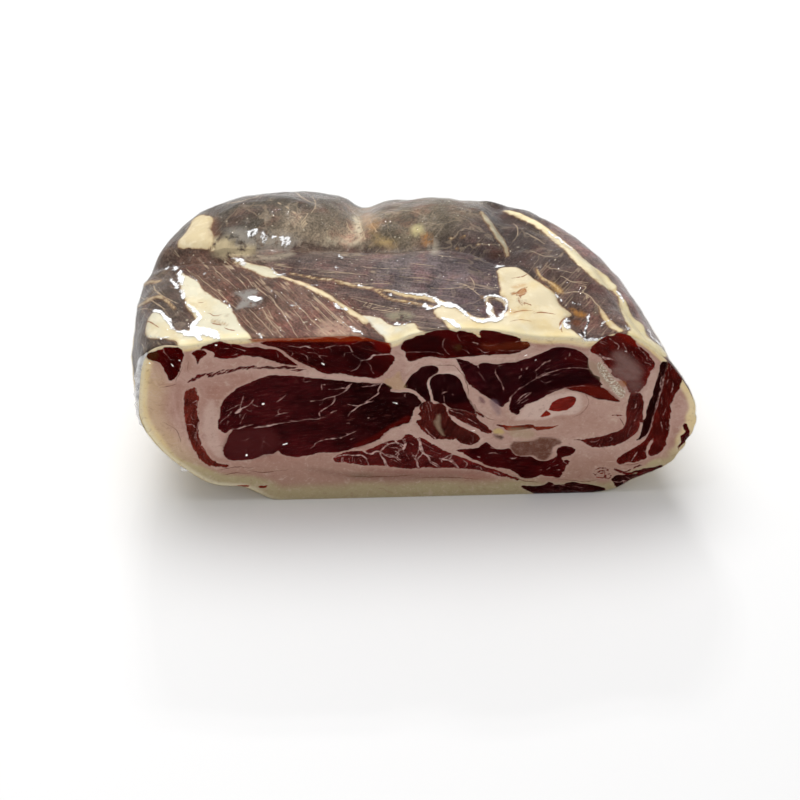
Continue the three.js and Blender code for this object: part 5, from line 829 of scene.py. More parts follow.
# Where the film stands off and catches the light, on the top: x, y and half width along each,
# which is painted wider by GLARE_SHARE.
GLARE_SHARE = 1.25
FILM_GLARE = [
    [(-76.7, 38.8, 0.5), (-76.4, 35.2, 0.9), (-74.9, 31.9, 0.3)],
    [(-79.7, 36.6, 0.2), (-78.7, 33.3, 0.6), (-77.2, 30.7, 0.2)],
    [(-79.5, 42.2, 0.5), (-79, 40.9, 0.6)], [(-82.1, 41.7, 0.3), (-81.8, 41, 0.5)],
    [(-75.7, 29.6, 0.4), (-74.6, 25.4, 0.6)],
    [(-73.9, 23.3, 0.4), (-71, 20, 0.5), (-68.9, 16.1, 0.7), (-69.4, 14, 0.8), (-70.6, 11.6, 0.9),
     (-69.4, 9.4, 1.6), (-66, 9.2, 1.2), (-63.9, 7.9, 1.3), (-61.7, 5.3, 0.6)],
    [(-84.9, 20.2, 0.4), (-82, 18.2, 0.8), (-77.3, 10.6, 0.4), (-73.9, 8.4, 0.7), (-70.3, 7.6, 1.2),
     (-67.6, 5.2, 0.9)], [(-86.5, 7.2, 0.2), (-82.1, 6.4, 0.35), (-78, 5.9, 0.2)],
    [(-75.1, 37.3, 0.15), (-72.4, 35.9, 0.3), (-70.4, 34, 0.15)],
    [(-62.4, 24.8, 0.15), (-58.8, 21.7, 0.3), (-57.6, 18.6, 0.2)],
    [(-59.8, 44.9, 0.2), (-56.5, 44.8, 0.9), (-54, 41.9, 0.3)],
    [(-53.2, 40.7, 0.15), (-50.8, 39.4, 0.25)],
    [(-45.1, 40.4, 0.2), (-42.6, 37.3, 0.5), (-39.8, 36.1, 0.3)],
    [(-32.1, 30.6, 0.15), (-28, 30.2, 0.2)],
    [(-51.5, 25.3, 0.9), (-49.6, 24.5, 1.3), (-48.1, 24.8, 0.6)],
    [(-54.2, 57.6, 0.3), (-53.7, 60.3, 0.4), (-52.5, 59.9, 0.4), (-52.5, 57.2, 0.4),
     (-53.5, 56.2, 0.3)],
    [(-51.8, 60.3, 0.3), (-50.7, 60.9, 0.45), (-50.2, 58.8, 0.45), (-51.3, 57.5, 0.3)],
    [(-48.5, 56.7, 0.35), (-47.9, 60.1, 0.4), (-47.2, 57.3, 0.5), (-46.3, 55.3, 0.5),
     (-47.5, 53.8, 0.5), (-48.4, 55.7, 0.3)], [(-44.1, 56.9, 0.8), (-43.6, 56.7, 0.6)],
    [(-42, 55.1, 0.35), (-40.4, 56.8, 0.5), (-38.7, 55, 0.5), (-38.9, 52.6, 0.5), (-40.3, 51, 0.6),
     (-41.5, 53, 0.35), (-42, 55.1, 0.3)], [(-65.5, 46.1, 0.4), (-64.3, 46.5, 0.3)],
    [(-68.8, 37.6, 0.35), (-68.4, 37.4, 0.3)], [(-62.7, 34.5, 0.3), (-62.3, 34.3, 0.25)],
    [(-44.3, 28.3, 0.3), (-43.7, 27.6, 0.25)], [(-37.2, 20.7, 0.25), (-36.8, 20.5, 0.25)],
    [(-35.7, 21.2, 0.35), (-35.3, 20.7, 0.3)], [(-33.9, 19.3, 0.2), (-33.5, 19, 0.2)],
    [(-47.6, 6.5, 0.4), (-46.8, 5.7, 0.3)], [(-22.3, 22.1, 0.15), (-20.9, 19.4, 0.5), (-17.7, 18, 0.3)],
    [(-18.7, 11.4, 0.15), (-15.1, 7.7, 0.4), (-11.5, 5, 0.3)],
    [(-2.1, 26.9, 0.15), (4.1, 25.1, 0.35), (9.5, 24.4, 0.5), (13, 22.8, 0.4)],
    [(12.1, 23.2, 0.3), (16.7, 19.2, 0.9), (20, 18.6, 0.7), (21.8, 16.2, 0.6), (28, 10.9, 0.6),
     (31.6, 11.2, 0.8), (34.5, 11.8, 0.7), (36.6, 14.7, 0.4), (37.8, 18.5, 0.4)],
    [(30.4, 21.1, 0.35), (31.6, 18, 0.8), (32.2, 13.9, 0.9), (33.4, 11, 0.5)],
    [(9.1, 19.3, 0.4), (11.9, 17.4, 0.6), (14.9, 19.6, 0.5)],
    [(15.4, 12.6, 0.3), (18.2, 11.2, 0.9), (19.8, 9.2, 1), (21.3, 7.3, 0.5)],
    [(-2.3, 9.9, 0.15), (2.1, 10.5, 0.3), (5.4, 11.1, 0.2)],
    [(29.4, 22.8, 0.2), (32.6, 23.3, 0.4), (36.6, 22, 0.45), (38.2, 19.3, 0.3)],
    [(-20.2, 45.5, 0.5), (-19.3, 44.9, 0.35)], [(-21.7, 40.2, 0.35), (-21.1, 39.7, 0.3)],
    [(-2.8, 25.2, 0.3), (-2.3, 24.6, 0.25)], [(1.5, 25.9, 0.15), (6.8, 25, 0.25)],
    [(35.4, 38.1, 0.4), (37, 38.3, 0.25)], [(4, 19.9, 0.2), (4.6, 20.2, 0.2)],
    [(-14.2, 30.6, 0.15), (-11.9, 29.5, 0.3)], [(27.3, 16.6, 0.2), (28, 15.8, 0.25)],
    [(53.2, 58, 0.2), (56.5, 53.9, 0.4), (59.9, 49.9, 0.4), (62.5, 45.3, 0.2)],
    [(45.4, 65, 0.3), (45.8, 64.3, 0.2)], [(75.6, 25.3, 0.2), (77.6, 21.1, 0.45), (78.4, 18.6, 0.2)],
    [(55.6, 5.6, 0.15), (56.3, 9, 0.3), (57.9, 11.3, 0.4), (59.1, 9.6, 0.3)],
    [(57, 10, 0.5), (57.6, 7.9, 0.7), (58.8, 6.2, 0.5)],
    [(61, 3.4, 0.2), (63.2, 0.9, 0.45), (67, 0.7, 0.4), (70.2, 1.9, 0.2)],
    [(66.1, 13.1, 0.15), (64.2, 5.6, 0.35), (63.5, 2.9, 0.2)],
    [(70.3, 7.1, 0.25), (71.9, 9.1, 0.35), (73.2, 10.1, 0.2)], [(78.1, 6.5, 0.3), (79, 5.5, 0.3)],
    [(84.7, 4.9, 0.12), (89.5, -3.7, 0.25), (91.2, -6.2, 0.15)], [(35.5, 38, 0.2), (37.7, 38.4, 0.4)],
    [(55.3, 24, 0.15), (56.5, 19.7, 0.25)], [(59.8, 18.9, 0.15), (62.7, 18, 0.25)],
]

# Loose lips of film at the cut's left edge: x, z and share of the full width along each.
FLAP_LEFT = [
    (-90.4, 38, 0.15), (-92.1, 46, 0.5), (-91.6, 54, 0.8), (-90.4, 62, 1), (-89.2, 69, 1.1),
    (-87.4, 75.6, 0.8), (-85.6, 79.4, 0.2)]
FLAP_LOW = [(-77.2, 17.4, 0.2), (-78.6, 18.8, 1.2), (-80, 20.2, 0.2)]
FLAP_THICKNESS = 0.12
FLAP_WHITE = 0.42
FLAP_GLOSS = 0.12
FLAP_STEP = 0.5

FLOOR_SIZE = 6.0


def smoothstep(low, high, value):
    t = np.clip((value - low) / (high - low), 0.0, 1.0)
    return t * t * (3.0 - 2.0 * t)


def rgb(code):
    """A hex colour as linear red, green and blue."""
    channels = [int(code[i:i + 2], 16) / 255.0 for i in (0, 2, 4)]
    return [c / 12.92 if c <= 0.04045 else ((c + 0.055) / 1.055) ** 2.4 for c in channels]


def spline(points, step, closed):
    """A smooth curve through points, as rows about step apart. Every column is carried along."""
    p = np.array(points, float)
    if closed:
        p0, p1, p2, p3 = np.roll(p, 1, 0), p, np.roll(p, -1, 0), np.roll(p, -2, 0)
    else:
        ends = np.vstack([2 * p[0] - p[1], p, 2 * p[-1] - p[-2]])
        p0, p1, p2, p3 = ends[:-3], ends[1:-2], ends[2:-1], ends[3:]
    d0, d1, d2 = (np.linalg.norm((b - a)[:, :2], axis=1)[:, None] ** 0.5
                  for a, b in ((p0, p1), (p1, p2), (p2, p3)))
    start = ((p1 - p0) / d0 - (p2 - p0) / (d0 + d1) + (p2 - p1) / d1) * d1
    end = ((p2 - p1) / d1 - (p3 - p1) / (d1 + d2) + (p3 - p2) / d2) * d1
    t = np.linspace(0.0, 1.0, 24, endpoint=False)[None, :, None]
    a, b, s, e = (v[:, None] for v in (p1, p2, start, end))
    curve = ((2 * t**3 - 3 * t**2 + 1) * a + (t**3 - 2 * t**2 + t) * s
             + (3 * t**2 - 2 * t**3) * b + (t**3 - t**2) * e).reshape(-1, p.shape[1])
    curve = np.vstack([curve, p[0] if closed else p[-1]])
    length = np.r_[0.0, np.cumsum(np.linalg.norm(np.diff(curve[:, :2], axis=0), axis=1))]
    count = max(int(round(length[-1] / step)), 3)
    at = np.linspace(0.0, length[-1], count + 1)
    rows = np.stack([np.interp(at, length, column) for column in curve.T], 1)
    return rows[:-1] if closed else rows


def near_box(points, line, reach):
    low, high = line[:, :2].min(0) - reach, line[:, :2].max(0) + reach
    return np.flatnonzero(((points > low) & (points < high)).all(1))


def segment_gaps(points, a, b):
    """Distance of each point from each segment, and how far along it the nearest place is."""
    along, out = b - a, points[:, None] - a
    share = np.clip((out * along).sum(2) / np.maximum((along**2).sum(1), 1e-9), 0.0, 1.0)
    return np.linalg.norm(out - share[..., None] * along, axis=2), share


def depth_in(points, outline, reach=REACH):
    """How far each point lies inside a closed outline, in mm, and below 0 outside it."""
    loop = spline(outline, 0.8, True)
    depth = np.full(len(points), -reach)
    near = near_box(points, loop, reach)
    a, b = loop, np.roll(loop, -1, 0)
    for part in np.array_split(near, max(len(near) // 4000, 1)):
        p = points[part]
        gap = segment_gaps(p, a, b)[0].min(1)
        above = loop[:, 1] > p[:, 1:2]
        crossed = above != np.roll(above, -1, 1)
        slope = (b[:, 0] - a[:, 0]) / np.where(b[:, 1] == a[:, 1], 1e-9, b[:, 1] - a[:, 1])
        left_of = p[:, :1] < a[:, 0] + (p[:, 1:2] - a[:, 1]) * slope
        inside = (crossed & left_of).sum(1) % 2 == 1
        depth[part] = np.where(inside, gap, -np.minimum(gap, reach))
    return depth


def depth_in_band(points, spine, reach=REACH):
    """The same for a band with a spine of x, second axis and half width."""
    line = spline(spine, 0.8, False)
    depth = np.full(len(points), -reach)
    near = near_box(points, line, reach)
    a, b = line[:-1], line[1:]
    for part in np.array_split(near, max(len(near) // 4000, 1)):
        gap, share = segment_gaps(points[part], a[:, :2], b[:, :2])
        inside = a[:, 2] + share * (b[:, 2] - a[:, 2]) - gap
        depth[part] = np.maximum(inside.max(1), -reach)
    return depth


def across_lines(points, spines, reach=3.0):
    """Distance across the nearest line in half widths, signed by its side, and plain distance."""
    side, away = np.full(len(points), 99.0), np.full(len(points), reach)
    for spine in spines:
        line = spline(spine, 0.8, False)
        near = near_box(points, line, reach)
        a, b = line[:-1], line[1:]
        gap, share = segment_gaps(points[near], a[:, :2], b[:, :2])
        first = gap.argmin(1)
        row = np.arange(len(near))
        gap, share = gap[row, first], share[row, first]
        way, out = (b - a)[first], points[near] - a[first, :2]
        turned = np.sign(way[:, 0] * out[:, 1] - way[:, 1] * out[:, 0])
        half = a[first, 2] + share * way[:, 2]
        closer = gap < away[near]
        side[near[closer]] = (turned * gap / half)[closer]
        away[near[closer]] = gap[closer]
    return np.stack([side, away, np.zeros(len(points))], 1)


def lumps(points, size, seed):
    """A smooth uneven field from -1 to 1 with lumps of about that size, in mm."""
    rng = np.random.default_rng(seed)
    total = np.zeros(points.shape[:-1])
    for _ in range(14):
        way = rng.normal(size=points.shape[-1])
        way *= rng.uniform(0.7, 1.5) * math.pi / (size * np.linalg.norm(way))
        total += np.sin(points @ way + rng.uniform(0, 2 * math.pi))
    return total / 5.0


def strayed(points):
    """Points moved a little, so that what is drawn with smooth lines comes out uneven."""
    away = [0.16 * lumps(points, 3.2, seed) + 0.1 * lumps(points, 1.3, seed + 20) for seed in (31, 32)]
    return points + np.stack(away, -1)


def remaining(share, bluntness):
    return np.maximum(1.0 - share**bluntness, 0.0) ** (1.0 / bluntness)


def cut_edges():
    """The cut's own edge and its plain rounded one, as loops of points every half millimetre."""
    own = spline(CUT_EDGE, EDGE_STEP, True)
    reach = int(round(SMOOTHING / EDGE_STEP / 2))
    plain = sum(np.roll(own, k, 0) for k in range(-reach, reach + 1)) / (2 * reach + 1)
    return own, plain


def unevenly(curve_length, step_at):
    """Places along a length, where step_at gives the spacing at evenly spread samples."""
    density = np.r_[0.0, np.cumsum(1.0 / step_at)] * curve_length / len(step_at)
    count = int(density[-1])
    samples = np.linspace(0.0, curve_length, len(step_at) + 1)
    return np.interp(np.arange(count) * density[-1] / count, density, samples)


def sections(shares, own, plain_edge):
    """The block's plain form: an array of sections by points by x, y, z."""
    share = shares[:, None]
    plain = smoothstep(0.0, FADE, DEPTH * share)
    x0 = own[:, 0] + (plain_edge[:, 0] - own[:, 0]) * plain - WAIST_X
    z0 = own[:, 1] + (plain_edge[:, 1] - own[:, 1]) * plain - WAIST_Z
    swell = SWELL_LEFT * np.sin(math.pi * share**SWELL_EARLY)
    tuck = TUCK_RIGHT * (2.0 * smoothstep(-TUCK_RUN, TUCK_RUN, DEPTH * share) - 1.0)
    x0 = x0 - smoothstep(*LEFT_FLANK, -x0) * swell - smoothstep(*RIGHT_FLANK, x0) * tuck
    sag = 1.0 + (UNDERSIDE_SAG - 1.0) * plain
    x = WAIST_X + x0 * np.where(x0 < 0, remaining(share, BLUNT_LEFT), remaining(share, BLUNT_RIGHT))
    below, above = remaining(share, BLUNT_BOTTOM) * sag, remaining(share, BLUNT_TOP)
    z = WAIST_Z + z0 * np.where(z0 < 0, below, above)
    y = share * (DEPTH - SHORTER_RIGHT * smoothstep(*BACK_STEP, x))
    return np.stack([x, y, z], 2)


def outwards(grid):
    around = np.roll(grid, -1, 1) - np.roll(grid, 1, 1)
    back = np.gradient(grid, axis=0)
    way = np.cross(around, back)
    return way / np.linalg.norm(way, axis=2, keepdims=True)


def relief(grid):
    """Height of the muscles above the plain form, or depth of the seams below it."""
    x, y, z = grid[..., 0], grid[..., 1], grid[..., 2]
    height = np.zeros(x.shape)
    for cx, cy, rx, ry, most in MOUNDS:
        height += most * np.exp(-(((x - cx) / rx) ** 2) - ((y - cy) / ry) ** 2)
    flat = grid[..., :2].reshape(-1, 2)
    for line, width, depth in GROOVES:
        ends = np.array(line, float)
        gap = segment_gaps(flat, ends[:-1], ends[1:])[0].min(1).reshape(x.shape)
        height -= depth * np.exp(-((gap / width) ** 2))
    on_top = smoothstep(*RELIEF_RISE, z - WAIST_Z)
    return height * on_top * smoothstep(0.0, RELIEF_START, y)


def skin_grid():
    """The outside of the block as a fine grid, with its outward normals."""
    own, plain = cut_edges()
    z = own[:, 1]
    step = np.where(z > FLANK_HEIGHT, SKIN_STEP, np.where(z > UNDER_HEIGHT, FLANK_STEP, UNDER_STEP))
    step = np.convolve(np.r_[step[-20:], step, step[:20]], np.ones(41) / 41, "valid")
    places = unevenly(len(own) * EDGE_STEP, step) / EDGE_STEP
    index = np.arange(len(own) + 1)
    own, plain = (np.stack([np.interp(places, index, np.r_[c, c[0]]) for c in e.T], 1)
                  for e in (own, plain))
    turned = 0.5 * math.pi * (1 - (1 - np.linspace(0, 1, 2000, endpoint=False)) ** CROWDING)
    top_middle = [np.argmin(abs(own[:, 0]) + 99 * (own[:, 1] < FLANK_HEIGHT))]
    path = sections(np.sin(turned), own[top_middle], plain[top_middle])[:, 0]
    length = np.r_[0, np.cumsum(np.linalg.norm(np.diff(path, axis=0), axis=1))]
    wanted = np.interp(path[:, 1], *np.transpose(RING_STEPS))
    rings = np.interp(unevenly(length[-1], wanted[1:]), length, np.sin(turned))
    grid = sections(rings, own, plain)
    normal = outwards(grid)
    inset = RIM_RADIUS - np.sqrt(RIM_RADIUS**2 - np.maximum(RIM_RADIUS - grid[..., 1], 0) ** 2)
    grid = grid + normal * relief(grid)[..., None] - normal * inset[..., None]
    return grid, normal


def sight_map(points):
    """Where the line of sight through each point meets the level of the top's map."""
    t = (TOP_LEVEL - EYE[2]) / (points[..., 2] - EYE[2])
    return EYE[:2] + (points[..., :2] - EYE[:2]) * t[..., None]


def top_map(grid):
    """The top's map position of every skin point, carried on over the back where it is hidden."""
    seen = sight_map(grid)
    furthest = seen[..., 1].argmax(0)
    columns = np.arange(grid.shape[1])
    path = np.cumsum(np.linalg.norm(np.diff(grid, axis=0, prepend=grid[:1]), axis=2), 0)
    beyond = np.arange(len(grid))[:, None] > furthest
    y = seen[furthest, columns, 1] + path - path[furthest, columns]
    x = seen[furthest, columns, 0] + grid[..., 0] - grid[furthest, columns, 0]
    return np.where(beyond[..., None], np.stack([x, y], 2), seen)


def paint_patches(points, patches):
    """Colour and strength of the patches at each point, as red, green, blue and alpha."""
    paint = np.zeros((len(points), 4))
    for colour, strength, soft, outline in patches:
        share = strength * smoothstep(-soft, soft, depth_in(points, outline))
        paint[:, :3] += (np.array(rgb(colour)) - paint[:, :3]) * (share > paint[:, 3])[:, None]
        paint[:, 3] = np.maximum(paint[:, 3], share)
    return paint


def turn(points, angle):
    """Points in the plane, as distances along and across fibres at an angle in degrees."""
    c, s = np.cos(np.radians(angle)), np.sin(np.radians(angle))
    return np.stack([points[:, 0] * c + points[:, 1] * s, points[:, 1] * c - points[:, 0] * s], 1)


def feathers(slant, size, spine):
    """Short slanted strokes along a spine, within its half width on each side."""
    rng = np.random.default_rng(len(spine))
    strokes = []
    for x, z, half in spline(spine, 0.24 * size, False):
        middle = np.array([x, z]) + rng.uniform(-0.7, 0.7, 2) * half
        turned = math.radians(slant + rng.uniform(-10.0, 10.0))
        reach = 0.5 * size * rng.uniform(0.6, 1.2) * np.array([math.cos(turned), math.sin(turned)])
        bend = rng.uniform(-0.15, 0.15, 2)
        width = min(half, rng.uniform(0.28, 0.5))
        ends = [(*(middle + way), 0.06) for way in (-reach, reach)]
        strokes.append([ends[0], (*(middle + bend), width), ends[1]])
    return strokes


def cut_fields(points):
    """What the cut shows at each point: lean depth, vein depth, colour and grain."""
    points = strayed(points)
    lean = np.full(len(points), -REACH)
    colour = np.zeros((len(points), 4))
    angle = np.zeros(len(points))
    for code, fibres, marbling, outline in CUT_MUSCLES.values():
        depth = depth_in(points, outline)
        nearer = depth > lean
        lean = np.maximum(lean, depth)
        colour[nearer] = [*rgb(code), marbling]
        angle[nearer] = fibres
    strokes = [(*FEATHER_LOOK, stroke) for row in CUT_FEATHERS for stroke in feathers(*row)]
    for code, rough, spine in CUT_THREADS + strokes:
        depth = depth_in_band(points, spine)
        nearer = depth > lean
        lean = np.maximum(lean, depth)
        colour[nearer] = [*rgb(code), rough]
    vein = np.full(len(points), -3.0)
    for spine in CUT_VEINS:
        vein = np.maximum(vein, depth_in_band(points, spine, 3.0))
    # the great muscle is darker to the right
    great = depth_in(points, CUT_MUSCLES["great"][3]) > -1.0
    darker = smoothstep(-46.0, -4.0, points[:, 0] + 0.4 * (points[:, 1] - 45.0)) * great
    colour[:, :3] *= (1.0 - 0.72 * darker)[:, None]
    colour[:, 0] *= 1.0 + 0.1 * darker
    lines = across_lines(points, CUT_CRACKS)
    for spine in CUT_GLINTS:
        lines[:, 2] = np.maximum(lines[:, 2], 3.0 + depth_in_band(points, spine, 3.0))
    return lean, vein, colour, np.column_stack([turn(points, angle), angle / 10.0]), lines


def cream_share(points, rim):
    """How far the fat has turned from pink to cream, most along the edge, and below 0 where pale; above
    1 where a painted highlight brightens the lit rim.
    """
    x, z = points[:, 0], points[:, 1]
    left = smoothstep(-55.0, -80.0, x)
    below = smoothstep(26.0, 8.0, z) * smoothstep(100.0, 40.0, x)
    right = smoothstep(85.0, 98.0, x)
    above = smoothstep(10.0, 24.0, x) * smoothstep(72.0, 64.0, x) * smoothstep(66.0, 72.0, z)
    low_right = smoothstep(60.0, 84.0, x) * smoothstep(48.0, 26.0, z)
    width = 1.4 + 2.4 * left * smoothstep(84.0, 70.0, z) + 7.0 * below + 1.3 * right + 1.2 * low_right
    width += 2.2 * above
    uneven = 1.2 * lumps(points, 14.0, 3) + 0.9 * low_right * lumps(points, 5.0, 4)
    full = smoothstep(width * 1.5, width * 0.4, rim + uneven)
    faint = 0.45 * left * smoothstep(15.0, 4.0, rim) * smoothstep(84.0, 62.0, z)
    # painted highlight: the cream is brightened along the rim where it is lit
    lit = np.maximum(smoothstep(-30.0, -62.0, x), smoothstep(60.0, 76.0, z))
    glow = 0.5 * smoothstep(3.0, 0.2, rim) * lit
    pale = np.zeros(len(points))
    for strength, soft, outline in CUT_PALE:
        pale = np.maximum(pale, strength * smoothstep(-soft, soft, depth_in(points, outline)))
    return np.maximum(full, faint) - pale * (1.0 - full) + glow


def within(points, loop):
    """Whether each point is inside a polygon."""
    inside = np.zeros(len(points), bool)
    for a, b in zip(loop, np.roll(loop, -1, 0)):
        crossed = (a[1] > points[:, 1]) != (b[1] > points[:, 1])
        if a[1] != b[1]:
            slope = (b[0] - a[0]) / (b[1] - a[1])
            inside ^= crossed & (points[:, 0] < a[0] + (points[:, 1] - a[1]) * slope)
    return inside


def rim_distance(points, boundary):
    """How far each point is from the cut's edge."""
    gaps = []
    for part in np.array_split(np.arange(len(points)), 24):
        gaps.append(segment_gaps(points[part], boundary, np.roll(boundary, -1, 0))[0].min(1))
    return np.concatenate(gaps)


def clear_of_edge(points, boundary, least):
    points = points[within(points, boundary)]
    return points[rim_distance(points, boundary) > least]


def face_points(boundary):
    """Points for the cut's mesh: its edge, and inner ones that crowd where fat meets lean."""
    def hexagons(step):
        rows = np.arange(-2.0, 92.0, step * 0.866)
        columns = np.arange(-96.0, 108.0, step)
        x = columns[None] + (np.arange(len(rows)) % 2)[:, None] * step / 2
        return np.stack([x, np.broadcast_to(rows[:, None], x.shape)], 2).reshape(-1, 2)

    def detail(points):
        lean, vein, _, _, lines = cut_fields(points)
        feathered = np.max([depth_in_band(points, spine) for _, _, spine in CUT_FEATHERS], 0) > -0.5
        fine = (vein > -0.45) | (lines[:, 2] > 2.4) | feathered
        return np.select([fine, (abs(lean) < CUT_FINE_REACH) | (lines[:, 1] < 1.0)], [2, 1], 0)

    steps = (CUT_STEP, CUT_FINE, CUT_FINEST)
    sets = [clear_of_edge(hexagons(step), boundary, 0.35) for step in steps]
    return np.vstack([boundary] + [points[detail(points) == i] for i, points in enumerate(sets)])


def facing_eye(solid, normal):
    """How far the skin faces the photograph's eye point, from -1 to 1."""
    to_eye = EYE - solid
    return (normal * to_eye).sum(1) / np.linalg.norm(to_eye, axis=1)


def rind_height(solid):
    """How high the rind reaches at each point, unevenly."""
    left, right = (np.interp(solid[:, 1], *np.transpose(line)) for line in (RIND_LEFT, RIND_RIGHT))
    height = np.where(solid[:, 0] < 0, left, right)
    for most, size, seed in ((6.0, 24.0, 11), (2.5, 9.0, 12), (1.6, 4.0, 15)):
        height += most * lumps(solid, size, seed)
    return height


def dried_muscles(points):
    """The colour and fibre strength of the top's lean at each point, and its fibre angle."""
    looks = [(rgb(code), angle, strength, place)
             for code, angle, strength, places in TOP_LEAN.values() for place in places]
    tints, angles, strengths, middles = (np.array(column, float) for column in zip(*looks))
    gaps = np.linalg.norm(points[:, None] - middles, axis=2)
    weight = np.exp(-((gaps / SHADING) ** 2)) + 1e-9 / (gaps + 1.0) ** 4
    weight /= weight.sum(1, keepdims=True)
    return np.column_stack([weight @ tints, weight @ strengths]), angles[gaps.argmin(1)]


def top_fields(grid, normal):
    """What the outside shows at each point: lean depth, colours, grain, patches."""
    points = top_map(grid).reshape(-1, 2)
    solid = grid.reshape(-1, 3)
    fat = np.full(len(points), -REACH)
    fat_colour = np.tile(rgb("e2d2ab") + [0.0], (len(points), 1))
    for code, outline in TOP_FAT.values():
        depth = depth_in(points, outline)
        fat_colour[depth > fat] = rgb(code) + [0.0]
        fat = np.maximum(fat, depth)
    for code, spine in TOP_SEAMS:
        depth = depth_in_band(points, spine)
        fat_colour[depth > fat] = rgb(code) + [0.0]
        fat = np.maximum(fat, depth)
    colour, angle = dried_muscles(points)
    # what the photograph doesn't show has rind below and dried lean above
    seen = smoothstep(-0.15, 0.05, facing_eye(solid, normal.reshape(-1, 3)))
    fat -= 3.0 * REACH * (1.0 - seen)
    rind = rind_height(solid) - solid[:, 2] - 14.0 * seen
    fat_colour[rind > fat] = rgb("dccb9f") + [1.0]
    fat = np.maximum(fat, np.clip(rind, -REACH, REACH))
    # painted light: the fat turns a brighter, warmer cream along the front rim
    front = 0.6 * smoothstep(4.5, 0.6, solid[:, 1])[:, None]
    fat_colour[:, :3] += front * (np.array(rgb("f2e4b6")) - fat_colour[:, :3])
    colour += (np.array(rgb("55473f") + [0.8]) - colour) * (0.8 * (1.0 - seen))[:, None]
    grain = np.column_stack([turn(points, angle), angle / 10.0])
    strayed_a_little = points + 0.25 * np.stack([lumps(points, 2.6, 61), lumps(points, 2.6, 62)], -1)
    hairs = across_lines(strayed_a_little, TOP_HAIRS)
    cracks = across_lines(strayed_a_little, TOP_CRACKS)
    hairs = np.stack([hairs[:, 0], np.minimum(hairs[:, 1], cracks[:, 1]), cracks[:, 0]], 1)
    patches = paint_patches(points, TOP_PATCHES)
    patches[:, 3] *= seen
    hairs[:, 1] += 3.0 * (1.0 - seen)
    return -fat, fat_colour, colour, grain, patches, hairs


def material(name):
    made = bpy.data.materials.new(name)
    made.use_nodes = True
    made.node_tree.nodes.clear()
    return Graph(made)


class Graph:
    """A material's nodes, made and linked by short calls that return output sockets."""

    def __init__(self, made):
        self.material = made
        self.tree = made.node_tree

    def node(self, kind, inputs=(), **settings):
        node = self.tree.nodes.new(kind)
        for key, value in settings.items():
            setattr(node, key, value)
        for key, value in dict(inputs).items():
            if isinstance(value, bpy.types.NodeSocket):
                self.tree.links.new(value, node.inputs[key])
            else:
                node.inputs[key].default_value = value
        return node

    def attribute(self, name, output="Fac"):
        return self.node("ShaderNodeAttribute", attribute_name=name).outputs[output]

    def math(self, operation, a, b=0.0, c=0.0):
        return self.node("ShaderNodeMath", {0: a, 1: b, 2: c}, operation=operation).outputs[0]

    def times(self, a, b):
        return self.math("MULTIPLY", a, b)

    def plus(self, a, b):
        return self.math("ADD", a, b)

    def less(self, a, b):
        return self.math("SUBTRACT", a, b)

    def most(self, a, b):
        return self.math("MAXIMUM", a, b)

    def size(self, value):
        return self.math("ABSOLUTE", value)

    def grey(self, tone):
        return self.node("ShaderNodeCombineColor", {0: tone, 1: tone, 2: tone}).outputs[0]

    def axes(self, vector):
        return self.node("ShaderNodeSeparateXYZ", {0: vector}).outputs

    def span(self, value, low, high, to_low=0.0, to_high=1.0):
        """value from low to high becomes to_low to to_high, smoothly and no further."""
        inputs = {0: value, 1: low, 2: high, 3: to_low, 4: to_high}
        return self.node("ShaderNodeMapRange", inputs, interpolation_type="SMOOTHSTEP").outputs[0]

    def stretched(self, vector, scale):
        inputs = {0: vector, 1: scale}
        return self.node("ShaderNodeVectorMath", inputs, operation="MULTIPLY").outputs[0]

    def noise(self, vector, scale, detail=2.0, roughness=0.5, distortion=0.0):
        inputs = {"Vector": vector, "Scale": scale, "Detail": detail, "Roughness": roughness,
                  "Distortion": distortion}
        return self.node("ShaderNodeTexNoise", inputs).outputs[0]

    def mix(self, share, a, b, blend="MIX"):
        node = self.node("ShaderNodeMix", data_type="RGBA", blend_type=blend)
        for index, value in ((0, share), (6, a), (7, b)):
            if isinstance(value, bpy.types.NodeSocket):
                self.tree.links.new(value, node.inputs[index])
            elif index == 0:
                node.inputs[index].default_value = value
            else:
                node.inputs[index].default_value = (*value, 1.0)
        return node.outputs[2]

    def bump(self, height, distance, normal=None, strength=1.0):
        inputs = {"Height": height, "Distance": distance, "Strength": strength}
        if normal is not None:
            inputs["Normal"] = normal
        return self.node("ShaderNodeBump", inputs).outputs[0]

    def finish(self, shader):
        self.node("ShaderNodeOutputMaterial", {0: shader})
        return self.material


def object_mm(g):
    """The object's own coordinates in millimetres."""
    place = g.node("ShaderNodeTexCoord").outputs["Object"]
    return g.stretched(place, (1000.0, 1000.0, 1000.0))


def ragged_edge(g, place, grain, marbling):
    """The depth in the lean of the cut, made ragged."""
    rough = g.math("MULTIPLY_ADD", marbling, 1.3, 0.5)
    wander = g.math("MULTIPLY_ADD", g.noise(place, 1.0, 5.0, 0.7), 1.0, -0.5)
    fray = g.noise(g.stretched(grain, (0.26, 1.4, 0.2)), 1.0, 3.0, 0.6)
    wander = g.plus(wander, g.math("MULTIPLY_ADD", fray, 1.1, -0.55))
    return g.plus(g.attribute("cut_lean"), g.times(wander, rough))


